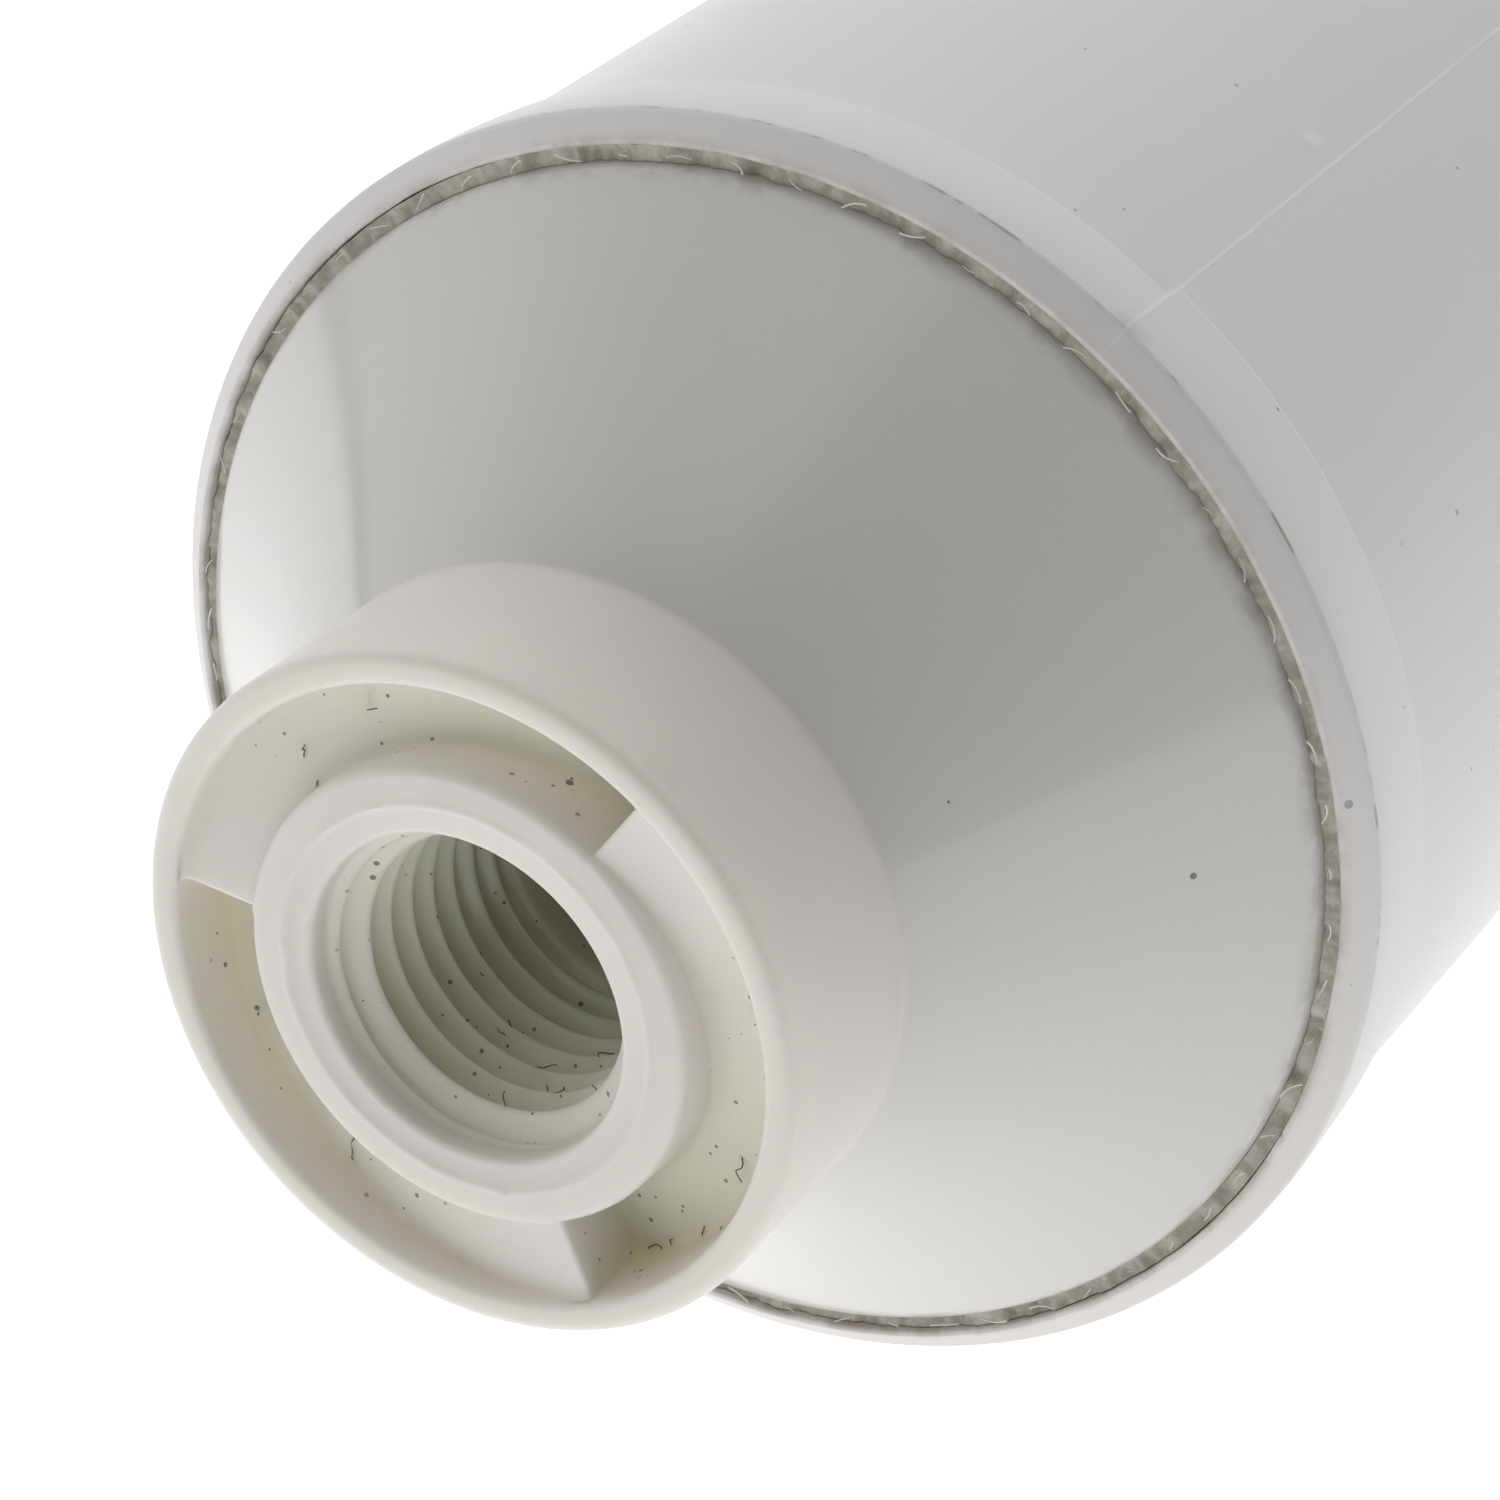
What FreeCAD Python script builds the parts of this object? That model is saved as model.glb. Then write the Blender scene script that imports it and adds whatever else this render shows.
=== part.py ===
import FreeCAD, Part
import math
import os
import Sketcher

# Sealed in-line water filter cartridge: a tube with a welded conical cap at each end, and a
# carbon element inside. The long axis is Y: the inlet port looks along -Y and the outlet port
# along +Y. The origin is the middle of the cartridge. All sizes are in millimetres.

doc = FreeCAD.newDocument("inline_filter")

DIMENSIONS = {
    # shell
    "overall_length": 254.0,
    "shell_radius": 26.7,
    "shell_wall": 2.6,
    "collar_radius": 27.5,
    "collar_wall": 1.3,
    "collar_length": 5.8,
    "collar_slope": 0.4,
    "collar_round": 0.8,
    "weld_socket_depth": 4.7,
    # end caps, heights measured from the end face of the shell
    "weld_gap": 0.43,
    "weld_bead_drop": 0.9,
    "cap_edge_height": 0.2,
    "cap_wall": 2.4,
    "cap_dish_radius": 88.0,
    "port_height": 20.7,
    "port_root_height": 12.0,
    "port_root_radius": 13.9,
    "port_root_fillet": 0.5,
    "skirt_radius": 14.2,
    "skirt_wall": 1.3,
    "skirt_round": 0.45,
    "boss_radius": 9.5,
    "boss_face_drop": 0.15,
    # one-way drive ramps round the boss
    "ramp_count": 3,
    "ramp_angle": 54.0,
    "ramp_top_drop": 0.5,
    "ramp_fall": 3.4,
    "ramp_floor": 2.6,
    # 1/4-18 taper pipe thread, its crests bored straight to 7/16 inch, and the hole beyond it
    "mouth_radius": 6.82,
    "mouth_depth": 1.3,
    "mouth_cone": 0.9,
    "crest_radius": 5.556,
    "hole_radius": 5.3,
    "thread_pitch": 1.411,
    "thread_angle": 120.0,
    "thread_depth": 12.5,
    "thread_root_radius": 6.81,
    "thread_root_flat": 0.1,
    "thread_groove_width": 1.2,
    "thread_taper": 1.0 / 32.0,
    # socket for the element's spigot, at the inner end of the boss
    "socket_radius": 6.6,
    "socket_bottom": 1.5,
    "boss_inner_depth": 8.0,
    # filter element
    "block_radius": 20.0,
    "block_bore": 6.5,
    "prefilter_thickness": 0.8,
    "netting_thickness": 0.6,
    "netting_strand": 1.0,
    "netting_bars": 18,
    "netting_hoops": 16,
    "core_wall": 1.0,
    "core_hole": 2.6,
    "core_rows": 12,
    "fleece_thickness": 0.5,
    "glue_thickness": 1.0,
    "cup_clearance": 0.3,
    "cup_wall": 1.2,
    "cup_floor": 2.0,
    "cup_depth": 6.0,
    "fin_clearance": 0.25,
    "fin_width": 1.6,
    "fin_count": 4,
    "closed_end_gap": 4.0,
    "foot_length": 7.0,
    "open_end_gap": 1.2,
    "spigot_clearance": 0.2,
    "spigot_length": 9.0,
    "spigot_bore": 4.0,
    "ring_section": 1.5,
    "ring_width": 1.8,
    "ring_round": 0.5,
    "ring_spacing": 3.6,
    "ring_first": 2.4,
}

size = doc.addObject("Spreadsheet::Sheet", "size")
for row, (alias, number) in enumerate(DIMENSIONS.items(), start=1):
    size.set(f"A{row}", alias)
    size.set(f"B{row}", str(number))
    size.setAlias(f"B{row}", alias)
doc.recompute()

# Places worked out from the driving dimensions, written as expressions on the sheet.
SHELL_HALF = "(size.overall_length / 2 - size.port_height)"
SHELL_BORE = "(size.shell_radius - size.shell_wall)"
WELD_SOCKET = "(size.collar_radius - size.collar_wall)"
CAP_RADIUS = f"({WELD_SOCKET} - size.weld_gap)"
SKIRT_BORE = "(size.skirt_radius - size.skirt_wall)"
RAMP_DEEP = "(size.port_height - size.ramp_top_drop - size.ramp_fall)"
THROAT_ROOF = f"({RAMP_DEEP} - size.ramp_floor)"
THROAT_RADIUS = "(size.port_root_radius - size.cap_wall)"
BOSS_FACE = "(size.port_height - size.boss_face_drop)"
LEAD_IN_END = f"({BOSS_FACE} - size.mouth_depth - size.mouth_cone)"
THREAD_END = "(size.port_height - size.thread_depth)"
THREAD_RUNOUT = f"({THREAD_END} - size.thread_pitch)"
BOSS_INNER_END = f"({SHELL_HALF} - size.boss_inner_depth)"
CLOSED_CUP_FACE = f"({BOSS_INNER_END} - size.closed_end_gap)"
OPEN_CUP_FACE = f"({BOSS_INNER_END} - size.open_end_gap)"
BLOCK_INLET_END = f"({CLOSED_CUP_FACE} - size.cup_floor - size.glue_thickness)"
BLOCK_OUTLET_END = f"({OPEN_CUP_FACE} - size.cup_floor - size.glue_thickness)"
WRAP_RADIUS = "(size.block_radius + size.prefilter_thickness)"
NETTING_RADIUS = f"({WRAP_RADIUS} + size.netting_thickness)"
CUP_BORE = f"({NETTING_RADIUS} + size.cup_clearance)"
CUP_RADIUS = f"({CUP_BORE} + size.cup_wall)"
CORE_RADIUS = "(size.block_bore - size.fleece_thickness)"
CORE_BORE = f"({CORE_RADIUS} - size.core_wall)"
SPIGOT_RADIUS = "(size.socket_radius - size.spigot_clearance)"
RING_GROOVE = "(size.socket_radius - size.ring_section)"

# Two edges closer than this are the same one, and a cut smaller than this is no cut.
SAME_PLACE = 0.01
LEAST_CUT = 1.0

TOWARDS_INLET = FreeCAD.Placement(FreeCAD.Vector(), FreeCAD.Rotation(FreeCAD.Vector(1, 0, 0), 90))
TOWARDS_OUTLET = FreeCAD.Placement(FreeCAD.Vector(), FreeCAD.Rotation(FreeCAD.Vector(1, 0, 0), -90))


def value(expression):
    """The number that an expression on the sheet has now."""
    return float(size.evalExpression(expression))


def new_body(label, placement):
    """A part of its own, whose local Z runs along the cartridge from its middle."""
    body = doc.addObject("PartDesign::Body", label)
    body.Label = label
    body.Placement = placement
    return body


def new_end_body(label, placement):
    """A part whose heights are measured outwards from the end face of the shell."""
    body = new_body(label, placement)
    outwards = placement.Rotation.multVec(FreeCAD.Vector(0, 0, 1))
    body.setExpression("Placement.Base.y", f"{outwards.y:.0f} * {SHELL_HALF}")
    return body


def origin_feature(body, role):
    """One of the body's own planes or axes."""
    return next(item for item in body.Origin.OriginFeatures if item.Role == role)


def new_sketch(body, name, role):
    """A sketch on one of the body's own planes."""
    sketch = body.newObject("Sketcher::SketchObject", f"{body.Name}_{name}")
    sketch.AttachmentSupport = [(origin_feature(body, role), "")]
    sketch.MapMode = "FlatFace"
    return sketch


def tie(sketch, kind, references, expression):
    """A dimension that follows the sheet."""
    index = sketch.addConstraint(Sketcher.Constraint(kind, *references, value(expression)))
    sketch.setExpression(f"Constraints[{index}]", expression)


def add_outline(sketch, corners, arcs=None):
    """A closed outline through corners given as pairs of expressions. arcs maps the number of a
    side to the expression of its radius, for a side that is hollow seen from outside."""
    arcs = arcs or {}
    points = [FreeCAD.Vector(value(across), value(up), 0) for across, up in corners]
    first = sketch.GeometryCount
    for side, start in enumerate(points):
        end = points[(side + 1) % len(points)]
        if side in arcs:
            sketch.addGeometry(hollow_arc(start, end, value(arcs[side])))
        else:
            sketch.addGeometry(Part.LineSegment(start, end))
    # an arc is drawn from its second corner to its first
    ends = [(2, 1) if side in arcs else (1, 2) for side in range(len(points))]
    for side, (across, up) in enumerate(corners):
        before = (side - 1) % len(corners)
        here = (first + side, ends[side][0])
        sketch.addConstraint(Sketcher.Constraint("Coincident", first + before, ends[before][1], *here))
        tie(sketch, "DistanceX", (-1, 1, *here), across)
        tie(sketch, "DistanceY", (-1, 1, *here), up)
    for side, radius in arcs.items():
        tie(sketch, "Radius", (first + side,), radius)


def hollow_arc(start, end, radius):
    """The short arc between two points whose centre lies up and away from the axis."""
    middle = (start + end) * 0.5
    along = end - start
    half = along.Length / 2
    out = FreeCAD.Vector(-along.y, along.x, 0).normalize()
    if out.x < 0:
        out = out * -1
    centre = middle + out * math.sqrt(radius ** 2 - half ** 2)
    from_angle = math.atan2(end.y - centre.y, end.x - centre.x)
    to_angle = math.atan2(start.y - centre.y, start.x - centre.x)
    circle = Part.Circle(centre, FreeCAD.Vector(0, 0, 1), radius)
    return Part.ArcOfCircle(circle, from_angle, to_angle)


def revolve(body, name, outlines, arcs=None):
    """Outlines of radius and height, turned once round the body's Z."""
    sketch = new_sketch(body, f"{name}_sketch", "XZ_Plane")
    for corners in outlines:
        add_outline(sketch, corners, arcs)
    turned = body.newObject("PartDesign::Revolution", f"{body.Name}_{name}")
    turned.Profile = sketch
    turned.ReferenceAxis = (origin_feature(body, "Z_Axis"), [""])
    turned.Angle = 360
    doc.recompute()
    return turned


def ring(body, name, inner, outer, low, high):
    """A plain ring or, with an inner radius of zero, a disc."""
    return revolve(body, name, [[(inner, low), (outer, low), (outer, high), (inner, high)]])


def around_axis(body, feature, count):
    """The same feature repeated evenly round the body's Z."""
    pattern = body.newObject("PartDesign::PolarPattern", f"{feature.Name}_pattern")
    pattern.Originals = [feature]
    pattern.Axis = (origin_feature(body, "Z_Axis"), [""])
    pattern.Angle = 360
    pattern.setExpression("Occurrences", count)
    body.Tip = pattern
    doc.recompute()
    return pattern


def round_edges(body, name, places, radius):
    """A fillet on the circular edges found at the given radii and heights."""
    base = body.Tip
    found = []
    for across, up in places:
        for number, edge in enumerate(base.Shape.Edges, start=1):
            if not isinstance(edge.Curve, Part.Circle):
                continue
            radius_off = abs(edge.Curve.Radius - value(across))
            height_off = abs(edge.Curve.Center.z - value(up))
            if max(radius_off, height_off) < SAME_PLACE:
                found.append(f"Edge{number}")
    if not found:
        raise RuntimeError(f"{body.Label}: no edge to round for {name}")
    fillet = body.newObject("PartDesign::Fillet", f"{body.Name}_{name}")
    fillet.Base = (base, found)
    fillet.setExpression("Radius", radius)
    body.Tip = fillet
    doc.recompute()


def helix_cut(body, name, corners, settings):
    """An outline of radius and height, cut along a right-hand helix round the body's Z."""
    before = body.Tip.Shape.Volume
    sketch = new_sketch(body, f"{name}_sketch", "XZ_Plane")
    turn = FreeCAD.Rotation(FreeCAD.Vector(0, 1, 0), value(settings["start"]))
    sketch.AttachmentOffset = FreeCAD.Placement(FreeCAD.Vector(), turn)
    sketch.setExpression("AttachmentOffset.Rotation.Angle", settings["start"])
    add_outline(sketch, corners)
    cut = body.newObject("PartDesign::SubtractiveHelix", f"{body.Name}_{name}")
    cut.Profile = sketch
    cut.ReferenceAxis = (origin_feature(body, "Z_Axis"), [""])
    cut.Mode = settings["mode"]
    for setting, expression in settings["values"].items():
        cut.setExpression(setting, expression)
    body.Tip = cut
    doc.recompute()
    if cut.Shape.isNull() or cut.Shape.Volume > before - LEAST_CUT:
        raise RuntimeError(f"{body.Label}: {name} cut nothing")
    return cut


def make_body_shell():
    """The moulded tube, with a raised collar and a weld socket at each end."""
    body = new_body("body_shell", TOWARDS_INLET)
    collar_back = f"({SHELL_HALF} - size.collar_length)"
    shoulder = f"({collar_back} - size.collar_slope)"
    seat = f"({SHELL_HALF} - size.weld_socket_depth)"
    half = [
        (WELD_SOCKET, seat),
        (WELD_SOCKET, SHELL_HALF),
        ("size.collar_radius", SHELL_HALF),
        ("size.collar_radius", collar_back),
        ("size.shell_radius", shoulder),
    ]
    far_half = [(across, f"-{up}") for across, up in reversed(half)]
    corners = [(SHELL_BORE, seat)] + half + far_half + [(SHELL_BORE, f"-{seat}")]
    revolve(body, "tube", [corners])
    ends = [("size.collar_radius", SHELL_HALF), ("size.collar_radius", f"-{SHELL_HALF}")]
    round_edges(body, "collar_edges", ends, "size.collar_round")


def make_end_cap(label, placement):
    """Conical cap with a round skirt, drive ramps and a threaded boss."""
    body = new_end_body(label, placement)
    cone_foot = "(size.cap_edge_height - size.cap_wall)"
    throat_foot = "(size.port_root_height - size.cap_wall / 2)"
    corners = [
        (SHELL_BORE, "-size.weld_socket_depth"),
        (CAP_RADIUS, "-size.weld_socket_depth"),
        (CAP_RADIUS, "size.cap_edge_height"),
        ("size.port_root_radius", "size.port_root_height"),
        ("size.skirt_radius", "size.port_height"),
        (SKIRT_BORE, "size.port_height"),
        (SKIRT_BORE, BOSS_FACE),
        ("size.mouth_radius", BOSS_FACE),
        ("size.mouth_radius", f"({BOSS_FACE} - size.mouth_depth)"),
        ("size.crest_radius", LEAD_IN_END),
        ("size.crest_radius", THREAD_RUNOUT),
        ("size.hole_radius", THREAD_RUNOUT),
        ("size.hole_radius", "size.socket_bottom"),
        ("size.socket_radius", "size.socket_bottom"),
        ("size.socket_radius", "-size.boss_inner_depth"),
        ("size.boss_radius", "-size.boss_inner_depth"),
        ("size.boss_radius", THROAT_ROOF),
        (THROAT_RADIUS, THROAT_ROOF),
        (THROAT_RADIUS, throat_foot),
        (SHELL_BORE, cone_foot),
    ]
    revolve(body, "cap", [corners], {2: "size.cap_dish_radius"})
    round_edges(body, "lip", [("size.skirt_radius", "size.port_height")], "size.skirt_round")
    root = [("size.port_root_radius", "size.port_root_height")]
    round_edges(body, "root", root, "size.port_root_fillet")
    cut_thread(body)
    cut_ramps(body)


def cut_thread(body):
    """A tapered thread groove: 60 degree flanks, and straight sides where it meets the crests."""
    root = "(size.thread_root_radius - size.thread_depth * size.thread_taper)"
    flat = "size.thread_root_flat / 2"
    side = "size.thread_groove_width / 2"
    flank_end = f"({root} - ({side} - {flat}) * sqrt(3))"
    inside = "(size.crest_radius - size.thread_depth * size.thread_taper - size.thread_root_flat)"
    corners = [
        (inside, f"({THREAD_END} - {side})"),
        (flank_end, f"({THREAD_END} - {side})"),
        (root, f"({THREAD_END} - {flat})"),
        (root, f"({THREAD_END} + {flat})"),
        (flank_end, f"({THREAD_END} + {side})"),
        (inside, f"({THREAD_END} + {side})"),
    ]
    height = f"({LEAD_IN_END} + size.mouth_cone + size.thread_pitch / 2 - {THREAD_END})"
    values = {"Pitch": "size.thread_pitch", "Height": height, "Angle": "atan(size.thread_taper)"}
    settings = {"mode": "pitch-height-angle", "start": "size.thread_angle", "values": values}
    helix_cut(body, "thread", corners, settings)


def cut_ramps(body):
    """Recesses between boss and skirt. Each floor climbs evenly round to the next sheer step."""
    above = "(size.port_height + size.ramp_fall)"
    corners = [
        ("size.boss_radius", RAMP_DEEP),
        (SKIRT_BORE, RAMP_DEEP),
        (SKIRT_BORE, above),
        ("size.boss_radius", above),
    ]
    values = {"Height": "size.ramp_fall", "Turns": "1 / size.ramp_count"}
    settings = {"mode": "height-turns-angle", "start": "size.ramp_angle", "values": values}
    ramp = helix_cut(body, "ramp", corners, settings)
    around_axis(body, ramp, "size.ramp_count")


def make_weld_bead(label, placement):
    """The ring of melted plastic between cap and collar."""
    body = new_end_body(label, placement)
    ring(body, "bead", CAP_RADIUS, WELD_SOCKET, "-size.weld_socket_depth", "-size.weld_bead_drop")


def make_sleeve(label, inner, outer):
    """A plain sleeve as long as the carbon block."""
    body = new_body(label, TOWARDS_OUTLET)
    ring(body, "sleeve", inner, outer, f"-{BLOCK_INLET_END}", BLOCK_OUTLET_END)
    return body


def make_core_tube():
    """The perforated tube that the treated water collects in."""
    body = make_sleeve("core_tube", CORE_BORE, CORE_RADIUS)
    middle = f"(({BLOCK_OUTLET_END} - {BLOCK_INLET_END}) / 2)"
    spacing = f"(({BLOCK_OUTLET_END} + {BLOCK_INLET_END}) / (size.core_rows + 1))"
    rows = int(value("size.core_rows"))
    for plane in ("XZ_Plane", "YZ_Plane"):
        sketch = new_sketch(body, f"holes_{plane[:2]}", plane)
        for row in range(rows):
            height = f"({middle} + {spacing} * ({row} - (size.core_rows - 1) / 2))"
            centre = FreeCAD.Vector(0, value(height), 0)
            circle = Part.Circle(centre, FreeCAD.Vector(0, 0, 1), value("size.core_hole / 2"))
            index = sketch.addGeometry(circle)
            sketch.addConstraint(Sketcher.Constraint("PointOnObject", index, 3, -2))
            tie(sketch, "DistanceY", (-1, 1, index, 3), height)
            tie(sketch, "Radius", (index,), "size.core_hole / 2")
        before = body.Tip.Shape.Volume
        holes = body.newObject("PartDesign::Pocket", f"core_tube_{plane[:2]}_holes")
        holes.Profile = sketch
        holes.Type = "ThroughAll"
        holes.Midplane = True
        doc.recompute()
        if holes.Shape.Volume > before - LEAST_CUT:
            raise RuntimeError("core_tube: the holes cut nothing")


def make_netting():
    """Extruded net sleeve: straight strands crossed by hoops."""
    body = new_body("outer_netting", TOWARDS_OUTLET)
    length = f"({BLOCK_INLET_END} + {BLOCK_OUTLET_END})"
    half_strand = "size.netting_strand / 2"
    radii = (WRAP_RADIUS, NETTING_RADIUS)
    spacing = f"(({length} - size.netting_strand) / (size.netting_hoops - 1))"
    hoops = []
    for number in range(int(value("size.netting_hoops"))):
        low = f"({spacing} * {number} - {BLOCK_INLET_END})"
        high = f"({low} + size.netting_strand)"
        hoops.append([(radii[0], low), (radii[1], low), (radii[1], high), (radii[0], high)])
    revolve(body, "hoops", hoops)
    bar = ring_sector(body, "bar", radii, half_strand, f"-{BLOCK_INLET_END}", length)
    around_axis(body, bar, "size.netting_bars")


def ring_sector(body, name, radii, half_width, low, length):
    """A bar along Z with parallel sides, centred on X, whose faces follow two cylinders."""
    inner, outer = (value(radius) for radius in radii)
    half = value(half_width)
    sketch = new_sketch(body, f"{name}_sketch", "XY_Plane")
    sketch.AttachmentOffset = FreeCAD.Placement(FreeCAD.Vector(0, 0, value(low)), FreeCAD.Rotation())
    sketch.setExpression("AttachmentOffset.Base.z", low)
    near, far = math.sqrt(inner ** 2 - half ** 2), math.sqrt(outer ** 2 - half ** 2)
    arcs = []
    for radius, across in ((inner, near), (outer, far)):
        circle = Part.Circle(FreeCAD.Vector(), FreeCAD.Vector(0, 0, 1), radius)
        angle = math.atan2(half, across)
        arcs.append(sketch.addGeometry(Part.ArcOfCircle(circle, -angle, angle)))
    for height in (-half, half):
        ends = FreeCAD.Vector(near, height, 0), FreeCAD.Vector(far, height, 0)
        arcs.append(sketch.addGeometry(Part.LineSegment(*ends)))
    inside, outside, low_side, high_side = arcs
    for arc, radius, side_end in ((inside, radii[0], 1), (outside, radii[1], 2)):
        sketch.addConstraint(Sketcher.Constraint("Coincident", arc, 3, -1, 1))
        sketch.addConstraint(Sketcher.Constraint("Coincident", arc, 1, low_side, side_end))
        sketch.addConstraint(Sketcher.Constraint("Coincident", arc, 2, high_side, side_end))
        tie(sketch, "Radius", (arc,), radius)
    for side, sign in ((low_side, "-"), (high_side, "")):
        sketch.addConstraint(Sketcher.Constraint("Horizontal", side))
        tie(sketch, "DistanceY", (-1, 1, side, 1), f"{sign}{half_width}")
    bar = body.newObject("PartDesign::Pad", f"{body.Name}_{name}")
    bar.Profile = sketch
    bar.setExpression("Length", length)
    doc.recompute()
    return bar


def cup_profile(face, floor_bore, floor):
    """Outline of an element end cup: its face looks along +Z, its rim hangs down."""
    return [
        (floor_bore, face),
        (floor_bore, floor),
        (CUP_BORE, floor),
        (CUP_BORE, f"({floor} - size.cup_depth)"),
        (CUP_RADIUS, f"({floor} - size.cup_depth)"),
        (CUP_RADIUS, face),
    ]


def add_fins(body, face):
    """Short fins that centre the cup in the shell."""
    sketch = new_sketch(body, "fin_sketch", "XZ_Plane")
    low, tip = f"({face} - size.cup_depth)", f"({SHELL_BORE} - size.fin_clearance)"
    inside = f"({CUP_RADIUS} - size.cup_wall / 2)"
    add_outline(sketch, [(inside, low), (tip, low), (tip, face), (inside, face)])
    fin = body.newObject("PartDesign::Pad", f"{body.Name}_fin")
    fin.Profile = sketch
    fin.Midplane = True
    fin.setExpression("Length", "size.fin_width")
    doc.recompute()
    around_axis(body, fin, "size.fin_count")


def make_closed_cup():
    """Blind cup on the inlet end of the element, with feet that keep it off the inlet boss."""
    body = new_body("closed_element_cap", TOWARDS_INLET)
    floor = f"({CLOSED_CUP_FACE} - size.cup_floor)"
    revolve(body, "cup", [cup_profile(CLOSED_CUP_FACE, "0", floor)])
    sketch = new_sketch(body, "foot_sketch", "XZ_Plane")
    inner, outer = "size.socket_radius", "(size.socket_radius + size.foot_length)"
    sunk = f"({CLOSED_CUP_FACE} - size.cup_floor / 2)"
    add_outline(sketch, [(inner, sunk), (outer, sunk), (outer, BOSS_INNER_END), (inner, BOSS_INNER_END)])
    foot = body.newObject("PartDesign::Pad", "closed_element_cap_foot")
    foot.Profile = sketch
    foot.Midplane = True
    foot.setExpression("Length", "size.fin_width")
    doc.recompute()
    around_axis(body, foot, "size.fin_count")
    add_fins(body, CLOSED_CUP_FACE)


def groove_places():
    """Lower and upper side of each seal groove, measured along the outlet direction."""
    places = []
    for number in range(2):
        low = f"({OPEN_CUP_FACE} + size.ring_first + size.ring_spacing * {number})"
        places.append((low, f"({low} + size.ring_width)"))
    return places


def make_open_cup():
    """Cup on the outlet end of the element, with a bored spigot grooved for two seals."""
    body = new_body("open_element_cap", TOWARDS_OUTLET)
    floor = f"({OPEN_CUP_FACE} - size.cup_floor)"
    tip = f"({OPEN_CUP_FACE} + size.spigot_length)"
    spigot = [("size.spigot_bore", tip), ("size.spigot_bore", floor)]
    outline = spigot + cup_profile(OPEN_CUP_FACE, "size.spigot_bore", floor)[2:]
    outline.append((SPIGOT_RADIUS, OPEN_CUP_FACE))
    for low, high in groove_places():
        outline += [(SPIGOT_RADIUS, low), (RING_GROOVE, low), (RING_GROOVE, high), (SPIGOT_RADIUS, high)]
    outline.append((SPIGOT_RADIUS, tip))
    revolve(body, "cup", [outline])
    add_fins(body, OPEN_CUP_FACE)


def make_seal(label, low, high):
    """A rubber ring, squeezed flat between the spigot's groove and the cap's socket."""
    body = new_body(label, TOWARDS_OUTLET)
    ring(body, "seal", RING_GROOVE, "size.socket_radius", low, high)
    corners = [(across, up) for across in (RING_GROOVE, "size.socket_radius") for up in (low, high)]
    round_edges(body, "corners", corners, "size.ring_round")


def make_glue(label, placement, inner, block_end):
    """The disc of hot-melt that seals the block's end in its cup."""
    body = new_body(label, placement)
    ring(body, "glue", inner, CUP_BORE, block_end, f"({block_end} + size.glue_thickness)")


make_body_shell()
for end, placement in (("inlet", TOWARDS_INLET), ("outlet", TOWARDS_OUTLET)):
    make_end_cap(f"{end}_end_cap", placement)
    make_weld_bead(f"{end}_weld_bead", placement)
make_sleeve("carbon_block", "size.block_bore", "size.block_radius")
make_sleeve("prefilter_wrap", "size.block_radius", WRAP_RADIUS)
make_netting()
make_sleeve("inner_fleece", CORE_RADIUS, "size.block_bore")
make_core_tube()
make_closed_cup()
make_open_cup()
make_glue("closed_cap_glue", TOWARDS_INLET, "0", BLOCK_INLET_END)
make_glue("open_cap_glue", TOWARDS_OUTLET, CORE_BORE, BLOCK_OUTLET_END)
for label, (low, high) in zip(("inner_o_ring", "outer_o_ring"), groove_places()):
    make_seal(label, low, high)
doc.recompute()

for item in doc.Objects:
    if "Invalid" in item.State or "Error" in item.State:
        raise RuntimeError(f"{item.Name} failed: {item.State}")

os.makedirs("parts", exist_ok=True)
for body in doc.findObjects("PartDesign::Body"):
    shape = body.Shape
    if shape.isNull() or not shape.isValid() or len(shape.Solids) != 1:
        raise RuntimeError(f"{body.Label} is not one valid solid")
    shape.exportStep(f"parts/{body.Label}.step")
    print(f"{body.Label}: {shape.Volume:.0f} mm3")
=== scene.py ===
import math

import bmesh
import bpy
from mathutils import Matrix, Vector, noise


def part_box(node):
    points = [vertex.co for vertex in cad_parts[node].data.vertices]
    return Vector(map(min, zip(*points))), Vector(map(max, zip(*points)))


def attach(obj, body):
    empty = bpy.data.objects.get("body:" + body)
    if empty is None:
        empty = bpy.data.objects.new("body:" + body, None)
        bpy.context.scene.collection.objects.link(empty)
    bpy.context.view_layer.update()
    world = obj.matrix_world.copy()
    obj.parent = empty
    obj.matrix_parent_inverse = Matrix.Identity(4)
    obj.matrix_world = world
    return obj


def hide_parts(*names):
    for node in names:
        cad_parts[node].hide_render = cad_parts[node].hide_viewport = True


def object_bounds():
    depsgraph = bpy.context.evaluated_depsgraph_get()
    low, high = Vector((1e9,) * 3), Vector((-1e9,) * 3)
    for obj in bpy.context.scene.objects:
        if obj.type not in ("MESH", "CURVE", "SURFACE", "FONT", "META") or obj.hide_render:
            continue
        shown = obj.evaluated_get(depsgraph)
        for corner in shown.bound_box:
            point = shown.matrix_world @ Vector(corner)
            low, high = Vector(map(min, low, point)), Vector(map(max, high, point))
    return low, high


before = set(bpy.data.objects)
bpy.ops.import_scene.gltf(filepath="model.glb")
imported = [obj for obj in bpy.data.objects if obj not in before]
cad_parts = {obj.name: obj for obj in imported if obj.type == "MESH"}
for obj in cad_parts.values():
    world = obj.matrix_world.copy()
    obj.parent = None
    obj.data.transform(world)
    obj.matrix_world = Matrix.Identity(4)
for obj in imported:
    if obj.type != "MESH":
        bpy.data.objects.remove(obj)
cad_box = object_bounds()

MM = 0.001

# ---------------------------------------------------------------------------------------------
# Filter element: core tube. A perforated polypropylene tube in the middle of the element,
# injection moulded, slid into the bore of the carbon block with a fleece wrapped round it.


def new_material(name):
    """A material with its node tree and its main shader."""
    material = bpy.data.materials.new(name)
    material.use_nodes = True
    tree = material.node_tree
    return material, tree, tree.nodes["Principled BSDF"]


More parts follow.
